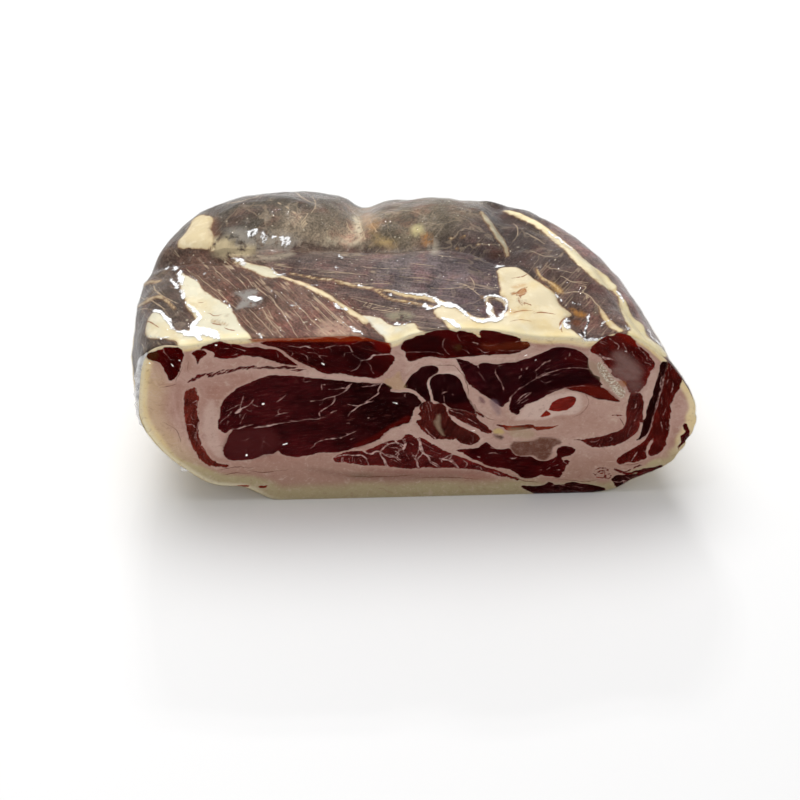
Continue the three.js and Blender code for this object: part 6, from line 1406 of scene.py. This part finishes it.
def cut_veins(g, place, grain, marbling):
    """Where the veins of the cut are, and their colour."""
    # the listed veins, with breaks in them
    faint = g.math("MULTIPLY_ADD", g.noise(place, 0.9, 3.0, 0.6), 0.7, -0.35)
    ragged = g.times(faint, g.math("MULTIPLY_ADD", marbling, 0.3, 0.45))
    drawn = g.span(g.plus(g.attribute("cut_vein"), ragged), -0.14, 0.14)
    drawn = g.times(drawn, g.span(g.noise(place, 0.45, 3.0), 0.32, 0.6, 0.35, 1.0))
    # fine marbling along the fibres
    threads = g.noise(g.stretched(grain, (0.16, 0.42, 0.1)), 1.0, 4.0, 0.6, 0.6)
    ridge = g.size(g.less(threads, 0.5))
    where = g.span(g.noise(place, 0.16, 2.0), 0.44, 0.62)
    width = g.times(g.times(where, marbling), 0.022)
    fine = g.span(g.less(width, ridge), 0.0, 0.016, 0.0, 0.6)
    thick = g.span(g.plus(g.attribute("cut_vein"), faint), 0.0, 0.36)
    return g.most(fine, drawn), g.mix(thick, rgb("976c66"), rgb("d6b6ac"))


def cut_lean_colour(g, place, grain, marbling, edge, fibres):
    """Red lean with fibres, clouds and specks, pale sinews, and a glow at its edge."""
    colour = g.attribute("cut_colour", "Color")
    clouds = g.noise(place, 0.09, 3.0, 0.55)
    specks = g.noise(place, 1.1, 4.0, 0.7, 0.4)
    tone = g.times(g.span(fibres, 0.25, 0.75, 0.62, 1.45), g.span(clouds, 0.3, 0.7, 0.68, 1.45))
    tone = g.times(tone, g.span(specks, 0.3, 0.7, 0.68, 1.4))
    red = g.mix(1.0, colour, g.grey(tone), "MULTIPLY")
    sinew = g.noise(g.stretched(grain, (0.3, 1.7, 0.2)), 1.0, 3.0, 0.65, 0.5)
    sinew = g.times(g.span(sinew, 0.55, 0.75, 0.0, 0.5), g.math("MULTIPLY_ADD", marbling, 0.7, 0.35))
    red = g.mix(sinew, red, rgb("94584f"))
    glow = g.span(edge, 1.3, 0.1, 0.0, 0.35)
    return g.mix(glow, red, g.mix(1.0, red, (2.2, 1.3, 1.0), "MULTIPLY"))


def cut_fat_colour(g, place, edge, lines):
    """Pink fat in layers along the lean, creamy at the rim, with its cracks."""
    lean, cream = g.attribute("cut_lean"), g.attribute("cut_cream")
    across, _, up = g.axes(place)
    along = g.node("ShaderNodeCombineXYZ", {0: g.times(lean, 0.22)}).outputs[0]
    lying = g.node("ShaderNodeVectorMath", {0: g.stretched(place, (0.05, 0.05, 0.05)), 1: along},
                   operation="ADD").outputs[0]
    layers = g.noise(lying, 1.0, 5.0, 0.6, 0.3)
    pink = g.mix(g.span(layers, 0.3, 0.7), rgb("b48a7c"), rgb("c9a396"))
    pink = g.mix(g.span(g.noise(place, 0.06, 2.0), 0.48, 0.75, 0.0, 0.45), pink, rgb("a87565"))
    creamy = g.mix(g.span(layers, 0.3, 0.7), rgb("ebcf98"), rgb("f6e0b2"))
    creamy = g.mix(g.span(up, 40.0, 12.0), creamy, rgb("b5a582"))
    # painted highlight: near white where the cream share passes 1, along the lit rim
    creamy = g.mix(g.span(cream, 1.0, 1.9), creamy, rgb("fff6d8"))
    pink = g.mix(g.span(up, 34.0, 10.0), pink, rgb("b08a7a"))
    inner = g.times(g.span(across, 20.0, 36.0), g.span(across, 84.0, 76.0))
    inner = g.times(inner, g.times(g.span(up, 26.0, 34.0), g.span(up, 62.0, 52.0)))
    pink = g.mix(g.times(inner, 0.35), pink, rgb("a06c54"))
    pink = g.mix(g.span(cream, 0.0, -1.0), pink, rgb("dcbfb2"))
    fat = g.mix(g.span(cream, 0.0, 1.0), pink, creamy)
    wisps = g.noise(place, 0.35, 5.0, 0.65, 1.0)
    fat = g.mix(g.span(wisps, 0.53, 0.75, 0.0, 0.42), fat, rgb("96685b"))
    fat = g.mix(g.span(wisps, 0.47, 0.28, 0.0, 0.42), fat, rgb("dcc6b4"))
    granular = g.noise(place, 0.95, 4.0, 0.7)
    fat = g.mix(g.span(granular, 0.56, 0.76, 0.0, 0.3), fat, rgb("8f6457"))
    fat = g.mix(g.span(granular, 0.44, 0.26, 0.0, 0.28), fat, rgb("ead6c8"))
    bright = g.span(edge, -0.2, -1.6, 0.16, 0.0)
    fat = g.mix(bright, fat, rgb("dcc0b2"))
    crack = g.times(g.span(g.size(lines[0]), 1.6, 0.5), g.span(lines[1], 1.1, 0.6))
    crack = g.times(crack, g.span(g.noise(place, 0.6, 2.0), 0.35, 0.55, 0.45, 0.95))
    return g.mix(g.times(crack, 0.9), fat, rgb("6e4436"))


def cut_material():
    g = material("cut_meat")
    place = object_mm(g)
    grain = g.attribute("cut_grain", "Vector")
    marbling = g.attribute("cut_colour", "Alpha")
    lines = g.axes(g.attribute("cut_lines", "Vector"))
    edge = ragged_edge(g, place, grain, marbling)
    is_lean = g.span(edge, -0.18, 0.18)
    fibres = g.noise(g.stretched(grain, (0.22, 1.3, 0.2)), 1.0, 3.0, 0.6)
    red = cut_lean_colour(g, place, grain, marbling, edge, fibres)
    meat = g.mix(is_lean, cut_fat_colour(g, place, edge, lines), red)
    vein, vein_colour = cut_veins(g, place, grain, marbling)
    meat = g.mix(g.times(vein, is_lean), meat, vein_colour)
    # gristle, glassy patches and stains, and a painted shadow under a lump of gristle
    cloudy = g.span(g.noise(place, 0.5, 5.0, 0.7), 0.3, 0.58, 0.74, 1.0)
    glassy_and_shadow = g.times(g.attribute("cut_patch", "Alpha"), cloudy)
    meat = g.mix(glassy_and_shadow, meat, g.attribute("cut_patch", "Color"))
    crumbly = g.noise(place, 1.0, 4.0, 0.7, 0.2)
    crumb = g.times(g.span(g.attribute("cut_crumbs"), 0.15, 0.7),
                    g.span(crumbly, 0.38, 0.54, 0.25, 0.9))
    crumb_colour = g.mix(g.span(crumbly, 0.42, 0.62), rgb("96795c"), rgb("e9e0d0"))
    meat = g.mix(crumb, meat, crumb_colour)
    # painted highlights: the glints are white in the colour and glow faintly
    glint = g.span(lines[2], 2.9, 3.15)
    meat = g.mix(glint, meat, rgb("fbf6f2"))
    height = g.plus(g.times(fibres, is_lean), g.times(crumbly, crumb))
    normal = g.bump(height, 0.00012)
    shader = g.node("ShaderNodeBsdfPrincipled", {
        "Base Color": meat, "Roughness": 0.5, "Normal": normal, "Specular IOR Level": 0.0,
        "Emission Color": (1.0, 0.97, 0.94, 1.0), "Emission Strength": g.times(glint, 0.5),
    })
    return g.finish(shader.outputs[0])


def dried_lean(g, place, fibres, strength):
    """Dark lean with fibres, blotches and specks."""
    clouds = g.noise(place, 0.11, 4.0, 0.6)
    specks = g.noise(place, 1.3, 3.0, 0.6)
    fibre_tone = g.span(fibres, 0.3, 0.7, 0.72, 1.34)
    fibre_tone = g.math("MULTIPLY_ADD", g.less(fibre_tone, 1.0), strength, 1.0)
    tone = g.times(g.span(clouds, 0.3, 0.7, 0.68, 1.4), g.span(specks, 0.3, 0.7, 0.66, 1.42))
    tone = g.times(tone, fibre_tone)
    dark = g.mix(1.0, g.attribute("top_colour", "Color"), g.grey(tone), "MULTIPLY")
    reddish = g.span(g.noise(place, 0.12, 3.0, 0.6), 0.45, 0.7, 0.0, 0.6)
    dark = g.mix(reddish, dark, g.mix(1.0, dark, (1.35, 0.9, 0.88), "MULTIPLY"))
    blotch = g.noise(place, 0.34, 5.0, 0.7, 0.4)
    dark = g.mix(g.span(blotch, 0.56, 0.74, 0.0, 0.45), dark, rgb("988d84"))
    return g.mix(g.span(blotch, 0.44, 0.27, 0.0, 0.5), dark, rgb("2e2524"))


def pale_lines(g, place, grain, strength, hair):
    """Long lines along the fibres, a web of membranes, and the listed lines."""
    strands = g.noise(g.stretched(grain, (0.018, 0.3, 0.2)), 1.0, 2.0, 0.5, 0.12)
    line = g.size(g.less(strands, 0.5))
    broken = g.span(g.noise(place, 0.16, 2.0, 0.5), 0.42, 0.56)
    pale = g.times(g.span(line, 0.02, 0.003, 0.0, 0.7), g.times(strength, broken))
    web = g.noise(place, 0.065, 3.0, 0.5, 0.4)
    web_line = g.span(g.size(g.less(web, 0.5)), 0.022, 0.002, 0.0, 0.4)
    web_line = g.times(web_line, g.span(g.noise(place, 0.07, 2.0), 0.4, 0.56))
    pale = g.most(pale, g.times(web_line, g.less(1.0, strength)))
    drawn = g.span(g.size(hair[0]), 1.4, 0.4, 0.0, 0.85)
    drawn = g.times(drawn, g.span(hair[1], 0.9, 0.5))
    drawn = g.times(drawn, g.span(g.noise(place, 0.5, 2.0), 0.3, 0.5, 0.4, 0.95))
    return g.most(pale, drawn)


def outer_fat(g, place, rind, creases, folds):
    """Cream fat with yellow clouds, fine wrinkles and brown flecks, and folds in its rind."""
    yellow = g.noise(place, 0.1, 3.0, 0.55)
    fat = g.mix(g.span(yellow, 0.45, 0.7, 0.0, 0.5), g.attribute("top_fat", "Color"), rgb("d2ba80"))
    fat = g.mix(g.span(g.noise(place, 0.25, 4.0, 0.6), 0.5, 0.7, 0.0, 0.5), fat, rgb("eae0c6"))
    fat = g.mix(g.span(creases, 0.6, 0.78, 0.0, 0.5), fat, rgb("b38a55"))
    fat = g.mix(g.times(rind, g.span(folds, 0.62, 0.4, 0.0, 0.55)), fat, rgb("c09f6c"))
    fat = g.mix(g.times(rind, g.span(folds, 0.52, 0.72, 0.0, 0.5)), fat, rgb("efe4c8"))
    pores = g.noise(place, 1.5, 4.0, 0.65)
    return g.mix(g.times(rind, g.span(pores, 0.55, 0.7, 0.0, 0.4)), fat, rgb("a47f50"))


def skin_material():
    g = material("dried_outside")
    place = object_mm(g)
    grain = g.attribute("top_grain", "Vector")
    strength = g.attribute("top_colour", "Alpha")
    rind = g.attribute("top_fat", "Alpha")
    hair = g.axes(g.attribute("top_hair", "Vector"))
    wander = g.math("MULTIPLY_ADD", g.noise(place, 0.4, 5.0, 0.65), 1.8, -0.9)
    edge = g.plus(g.attribute("top_lean"), wander)
    is_lean = g.span(edge, -0.2, 0.22)
    fibres = g.noise(g.stretched(grain, (0.11, 1.3, 0.2)), 1.0, 4.0, 0.6, 0.2)
    creases = g.noise(g.stretched(place, (0.14, 0.32, 0.32)), 1.0, 5.0, 0.65, 1.2)
    folds = g.noise(g.stretched(place, (0.04, 0.04, 0.13)), 1.0, 5.0, 0.62, 0.9)
    dark = dried_lean(g, place, fibres, strength)
    dark = g.mix(pale_lines(g, place, grain, strength, hair), dark, rgb("bda88c"))
    fat = outer_fat(g, place, rind, creases, folds)
    # brown cracks in both, and pale dots on the lean
    crack = g.times(g.span(g.size(hair[2]), 1.5, 0.5), g.span(hair[1], 0.9, 0.5))
    crack = g.times(crack, g.span(g.noise(place, 0.8, 3.0), 0.32, 0.5, 0.3, 0.9))
    fat = g.mix(crack, fat, rgb("8a5028"))
    dark = g.mix(crack, dark, rgb("1e1615"))
    dots = g.times(g.span(g.noise(place, 0.75, 1.0), 0.7, 0.76),
                   g.span(g.noise(place, 0.09, 1.0), 0.46, 0.6))
    dark = g.mix(dots, dark, rgb("c6bba6"))
    meat = g.mix(is_lean, fat, dark)
    rim = g.span(g.size(edge), 0.7, 0.1, 0.0, 0.4)
    meat = g.mix(rim, meat, rgb("9c7650"))
    # the top's stains and membranes, and its patches of painted shade
    stains_and_shade = g.span(g.noise(place, 0.35, 4.0, 0.65), 0.32, 0.52)
    stains_and_shade = g.times(g.attribute("top_patch", "Alpha"), stains_and_shade)
    meat = g.mix(stains_and_shade, meat, g.attribute("top_patch", "Color"))
    height = g.plus(g.times(fibres, is_lean), g.times(creases, 0.5))
    height = g.math("MULTIPLY_ADD", g.times(folds, rind), 2.5, height)
    normal = g.bump(height, 0.0003)
    shader = g.node("ShaderNodeBsdfPrincipled", {
        "Base Color": meat, "Roughness": 0.45, "Normal": normal, "Specular IOR Level": 0.15,
    })
    return g.finish(shader.outputs[0])


def film_material():
    g = material("clear_film")
    place = object_mm(g)
    ripples = g.noise(place, 0.16, 3.0, 0.55, 0.6)
    crinkles = g.noise(place, 1.1, 3.0, 0.6, 0.3)
    normal = g.bump(g.math("MULTIPLY_ADD", crinkles, 0.14, ripples), 0.0009)
    clear = g.node("ShaderNodeBsdfTransparent").outputs[0]
    gloss = g.node("ShaderNodeBsdfPrincipled", {
        "Base Color": (0.9, 0.9, 0.9, 1.0), "Roughness": 0.07, "Normal": normal, "Metallic": 1.0,
    }).outputs[0]
    mirror = g.node("ShaderNodeFresnel", {"IOR": 1.5, "Normal": normal}).outputs[0]
    share = g.times(mirror, g.attribute("film_gloss"))
    film = g.node("ShaderNodeMixShader", {0: share, 1: clear, 2: gloss}).outputs[0]
    white = g.node("ShaderNodeBsdfPrincipled", {
        "Base Color": (1.0, 1.0, 1.0, 1.0), "Roughness": 0.15, "Specular IOR Level": 0.6,
    }).outputs[0]
    uneven = g.math("MULTIPLY_ADD", g.noise(place, 0.7, 4.0, 0.65), 2.4, -1.2)
    glare = g.span(g.plus(g.attribute("film_glare"), uneven), -0.2, 0.4, 0.0, 0.95)
    glare = g.most(glare, g.attribute("film_veil"))
    shader = g.node("ShaderNodeMixShader", {0: glare, 1: film, 2: white}).outputs[0]
    return g.finish(shader)


def build_mesh(name, points, faces, materials, slots=None):
    mesh = bpy.data.meshes.new(name)
    mesh.from_pydata((points * MM).tolist(), [], faces)
    for made in materials:
        mesh.materials.append(made)
    if slots is not None:
        mesh.polygons.foreach_set("material_index", slots)
    mesh.polygons.foreach_set("use_smooth", np.ones(len(mesh.polygons), bool))
    mesh.validate()
    made = bpy.data.objects.new(name, mesh)
    bpy.context.collection.objects.link(made)
    return made


def store(made, name, values):
    """Keeps one number, vector or colour for each vertex of a mesh."""
    kinds = {1: ("FLOAT", "value"), 3: ("FLOAT_VECTOR", "vector"), 4: ("FLOAT_COLOR", "color")}
    width = 1 if values.ndim == 1 else values.shape[1]
    kind, key = kinds[width]
    layer = made.data.attributes.new(name, kind, "POINT")
    layer.data.foreach_set(key, np.ascontiguousarray(values, np.float32).ravel())


def skin_faces(rings, around):
    r, i = np.meshgrid(np.arange(rings - 1), np.arange(around), indexing="ij")
    j = (i + 1) % around
    near, far = r * around, (r + 1) * around
    return np.stack([near + i, near + j, far + j, far + i], 2).reshape(-1, 4).tolist()


def pole_faces(rings, around, pole):
    last = (rings - 1) * around
    return [(last + i, last + (i + 1) % around, pole) for i in range(around)]


def front_faces(points, around, first):
    """The points and triangles of the front, whose edge is the skin's first ring of points."""
    loop = [(i, (i + 1) % around) for i in range(around)]
    made = delaunay_2d_cdt([Vector(p) for p in points], loop, [], 1, 1e-6)
    flat = np.array([list(v) for v in made[0]])
    to_vertex = np.arange(len(flat)) + first - around
    to_vertex[:around] = np.arange(around)
    return flat, [tuple(int(v) for v in to_vertex[list(f)]) for f in made[2]]


def press_flat(points):
    points[..., 2] = np.maximum(points[..., 2], 0.0)
    return points


def to_row(points):
    """From the photograph's frame to the row's."""
    return points - row_origin


def uneven_skin(grid, normal, lean):
    """The skin with its lean a step lower than its fat, uneven, and torn at the cut's lower right."""
    unevenness = 0.35 * lumps(grid, 9.0, 5) + 0.18 * lumps(grid, 4.5, 6)
    step = -SEAM_RECESS * smoothstep(-0.8, 0.8, lean).reshape(grid.shape[:2])
    rise = (unevenness + step) * smoothstep(0.0, 5.0, grid[..., 1])
    torn = smoothstep(64.0, 84.0, grid[..., 0]) * smoothstep(60.0, 44.0, grid[..., 2])
    torn *= smoothstep(9.0, 0.0, grid[..., 1])
    rise += torn * (0.5 + 0.5 * lumps(grid, 7.0, 13) + 0.4 * lumps(grid, 3.0, 14))
    away = normal * rise[..., None]
    away[0, :, 1] = 0.0
    return press_flat(grid + away)


def sunk_face(flat, rim, lean, vein):
    """The cut's points, with the lean lower than the fat and the veins, but level at the edge."""
    sunk = LEAN_RECESS * smoothstep(-0.5, 0.7, np.minimum(lean, -vein)) + 0.12 * lumps(flat, 5.0, 8)
    return np.stack([flat[:, 0], sunk * smoothstep(0.0, 2.0, rim), flat[:, 1]], 1)


def sharpen_rim(meat, around):
    """Marks the edges between the skin's first points as a knife's edge."""
    ends = np.empty(2 * len(meat.data.edges), int)
    meat.data.edges.foreach_get("vertices", ends)
    knife_edge = (ends.reshape(-1, 2) < around).all(1)
    meat.data.attributes.new("sharp_edge", "BOOLEAN", "EDGE").data.foreach_set("value", knife_edge)


def make_meat():
    grid, normal = skin_grid()
    rings, around = grid.shape[:2]
    lean, fat_colour, colour, grain, patch, hairs = top_fields(grid, normal)
    grid = uneven_skin(grid, normal, lean)
    pole = np.array([[WAIST_X, DEPTH - SHORTER_RIGHT, WAIST_Z]])
    skin = np.vstack([grid.reshape(-1, 3), pole])
    first = len(skin)
    boundary = grid[0][:, [0, 2]]
    flat, triangles = front_faces(face_points(boundary), around, first)
    cut_lean, cut_vein, cut_colour, cut_grain, cut_lines = cut_fields(flat)
    rim = rim_distance(flat, boundary)
    face = sunk_face(flat, rim, cut_lean, cut_vein)
    faces = skin_faces(rings, around) + pole_faces(rings, around, first - 1)
    slots = [1] * len(faces) + [0] * len(triangles)
    points = np.vstack([skin, face[around:]])
    meat = build_mesh("cured_meat", to_row(points), faces + triangles,
                      [cut_material(), skin_material()], slots)
    sharpen_rim(meat, around)

    def on_skin(values):
        spare = np.zeros((len(points) - len(values),) + values.shape[1:])
        return np.concatenate([values, spare])

    def on_cut(values):
        spare = np.zeros((first - around,) + values.shape[1:])
        return np.concatenate([values[:around], spare, values[around:]])

    for name, values in (("top_lean", lean), ("top_fat", fat_colour), ("top_colour", colour),
                         ("top_grain", grain), ("top_patch", patch), ("top_hair", hairs)):
        store(meat, name, on_skin(values))
    crumbs = smoothstep(-1.0, 1.0, depth_in_band(flat, CUT_CRUMBS))
    for name, values in (("cut_lean", cut_lean), ("cut_vein", cut_vein), ("cut_colour", cut_colour),
                         ("cut_grain", cut_grain), ("cut_lines", cut_lines),
                         ("cut_cream", cream_share(flat, rim)), ("cut_crumbs", crumbs),
                         ("cut_patch", paint_patches(flat, CUT_PATCHES))):
        store(meat, name, on_cut(values))
    return meat, grid, normal


def make_film(grid, normal):
    """The film: the same form, bridging its hollows, a little way outside it."""
    skin = grid + FILM_GAP * normal
    skin[0, :, 1] = FILM_FRONT
    rings, around = skin.shape[:2]
    pole = np.array([[WAIST_X, DEPTH - SHORTER_RIGHT + FILM_GAP, WAIST_Z]])
    first = rings * around + 1
    boundary = skin[0][:, [0, 2]]
    rows = np.arange(0.0, 90.0, 2.6)
    columns = np.arange(-94.0, 106.0, 3.0)
    inner = np.stack(np.meshgrid(columns, rows), 2).reshape(-1, 2)
    flat = np.vstack([boundary, clear_of_edge(inner, boundary, 1.2)])
    flat, triangles = front_faces(flat, around, first)
    face = np.stack([flat[:, 0], np.full(len(flat), FILM_FRONT), flat[:, 1]], 1)
    faces = skin_faces(rings, around) + pole_faces(rings, around, first - 1)
    points = np.vstack([skin.reshape(-1, 3), pole, face[around:]])
    film = build_mesh("vacuum_film", to_row(press_flat(points)), faces + triangles, [film_material()])
    gloss = np.where(np.arange(len(points)) < first, FILM_GLOSS, FILM_FRONT_GLOSS)
    gloss[:around] = FILM_EDGE_GLOSS
    store(film, "film_gloss", gloss)
    seen = top_map(grid).reshape(-1, 2)
    seen = seen + 0.5 * np.stack([lumps(seen, 3.0, 51), lumps(seen, 3.0, 52)], -1)
    glare = np.full(len(seen), NO_GLARE)
    for spine in FILM_GLARE:
        wider = [(x, y, GLARE_SHARE * half) for x, y, half in spine]
        glare = np.maximum(glare, depth_in_band(seen, wider, -NO_GLARE))
    glare -= 4.0 * smoothstep(0.05, -0.15, facing_eye(grid.reshape(-1, 3), normal.reshape(-1, 3)))
    store(film, "film_glare", np.concatenate([glare, np.full(len(points) - len(seen), NO_GLARE)]))
    return film


def make_flap(name, spine, width, seed):
    """A loose, creased lip of film along the cut's edge: a thin closed sheet, out from a spine."""
    line = spline(spine, FLAP_STEP, False)
    way = np.gradient(line[:, :2], axis=0)
    way /= np.linalg.norm(way, axis=1, keepdims=True)
    out = np.stack([-way[:, 1], way[:, 0]], 1)
    lengths = FLAP_STEP * np.arange(len(line))
    along, share = np.meshgrid(lengths, np.linspace(0.0, 1.0, 9), indexing="ij")
    reach = width * line[:, 2, None] * share * (1.0 + 0.22 * lumps(along[..., None], 3.4, seed))
    flat = line[:, None, :2] + out[:, None] * reach[..., None]
    crease = np.stack([along, 5.0 * share], -1)
    wave = 0.45 * lumps(crease, 4.0, seed + 1) + 0.12 * lumps(crease, 2.0, seed + 2)
    y = -0.15 + share * (0.5 + wave)
    sheet = np.stack([flat[..., 0], y, flat[..., 1]], -1)
    rows, columns = sheet.shape[:2]
    both = np.vstack([sheet.reshape(-1, 3), sheet.reshape(-1, 3) + [0.0, FLAP_THICKNESS, 0.0]])
    r, c = np.meshgrid(np.arange(rows - 1), np.arange(columns - 1), indexing="ij")
    near = (r * columns + c).ravel()
    half = rows * columns
    front = np.stack([near, near + 1, near + columns + 1, near + columns], 1)
    back = front[:, ::-1] + half
    index = np.arange(half).reshape(rows, columns)
    border = np.r_[index[0, :-1], index[:-1, -1], index[-1, :0:-1], index[:0:-1, 0]]
    after = np.roll(border, -1)
    sides = np.stack([after, border, border + half, after + half], 1)
    faces = np.vstack([front, back, sides]).tolist()
    flap = build_mesh(name, to_row(both), faces, [film_material()])
    store(flap, "film_gloss", np.full(len(both), FLAP_GLOSS))
    store(flap, "film_glare", np.full(len(both), NO_GLARE))
    store(flap, "film_veil", FLAP_WHITE + 0.2 * np.clip(lumps(both, 3.0, seed + 3), -1.0, 1.0))
    return flap


def area_light(name, place, aim, size, power, mirrored=True):
    lamp = bpy.data.lights.new(name, "AREA")
    lamp.shape = "RECTANGLE"
    lamp.size, lamp.size_y = size
    lamp.energy = power
    made = bpy.data.objects.new(name, lamp)
    made.location = place
    made.rotation_euler = (Vector(aim) - Vector(place)).to_track_quat("-Z", "Y").to_euler()
    made.visible_glossy = mirrored
    bpy.context.collection.objects.link(made)


def studio():
    bpy.ops.mesh.primitive_plane_add(size=FLOOR_SIZE, location=(0, 0, 0))
    floor = bpy.context.object
    floor.name = "floor"
    g = material("pale_floor")
    shader = g.node("ShaderNodeBsdfPrincipled", {
        "Base Color": (0.86, 0.86, 0.86, 1.0), "Roughness": 0.9, "Specular IOR Level": 0.1,
    })
    floor.data.materials.append(g.finish(shader.outputs[0]))
    world = bpy.data.worlds.new("studio")
    world.use_nodes = True
    world.node_tree.nodes["Background"].inputs[0].default_value = (1.0, 1.0, 1.0, 1.0)
    world.node_tree.nodes["Background"].inputs[1].default_value = 0.45
    bpy.context.scene.world = world
    middle = (0, 0, 0.05)
    area_light("overhead", (-0.15, 0.2, 1.1), middle, (0.8, 0.6), 10.5, mirrored=False)
    for i in range(6):
        x, y = -0.16 + 0.07 * (i % 3), 0.80 + 0.07 * (i // 3)
        area_light(f"lamp_{i}", (x, y, 0.85), middle, (0.02, 0.02), 0.3)


def camera():
    data = bpy.data.cameras.new("camera")
    data.sensor_width = SENSOR
    data.lens = SENSOR * FOCAL_SHARE
    made = bpy.data.objects.new("camera", data)
    made.location = Vector(to_row(EYE) * MM)
    made.rotation_euler = (0.5 * math.pi - EYE_PITCH, 0.0, 0.0)
    made.rotation_mode = "XYZ"
    basis = made.rotation_euler.to_matrix().to_4x4()
    roll = Vector((0, 0, 1))
    turned = basis @ Matrix.Rotation(-EYE_ROLL, 4, roll)
    made.matrix_world = Matrix.Translation(made.location) @ turned
    bpy.context.collection.objects.link(made)
    bpy.context.scene.camera = made


def form_middle():
    """The middle of the block's box in the photograph's frame, on the table."""
    grid = skin_grid()[0]
    low, high = grid.min((0, 1)), grid.max((0, 1))
    return np.array([(low[0] + high[0]) / 2, (low[1] + high[1]) / 2, 0.0])


row_origin = form_middle()
meat, grid, normal = make_meat()
film = make_film(grid, normal)
flaps = [make_flap("film_lip", FLAP_LEFT, 1.9, 71), make_flap("film_corner", FLAP_LOW, 2.2, 81)]
for piece in (meat, film):
    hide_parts("cured_shoulder")
for piece in (meat, film, *flaps):
    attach(piece, "root")
studio()
camera()
bpy.context.scene.view_settings.view_transform = "Standard"
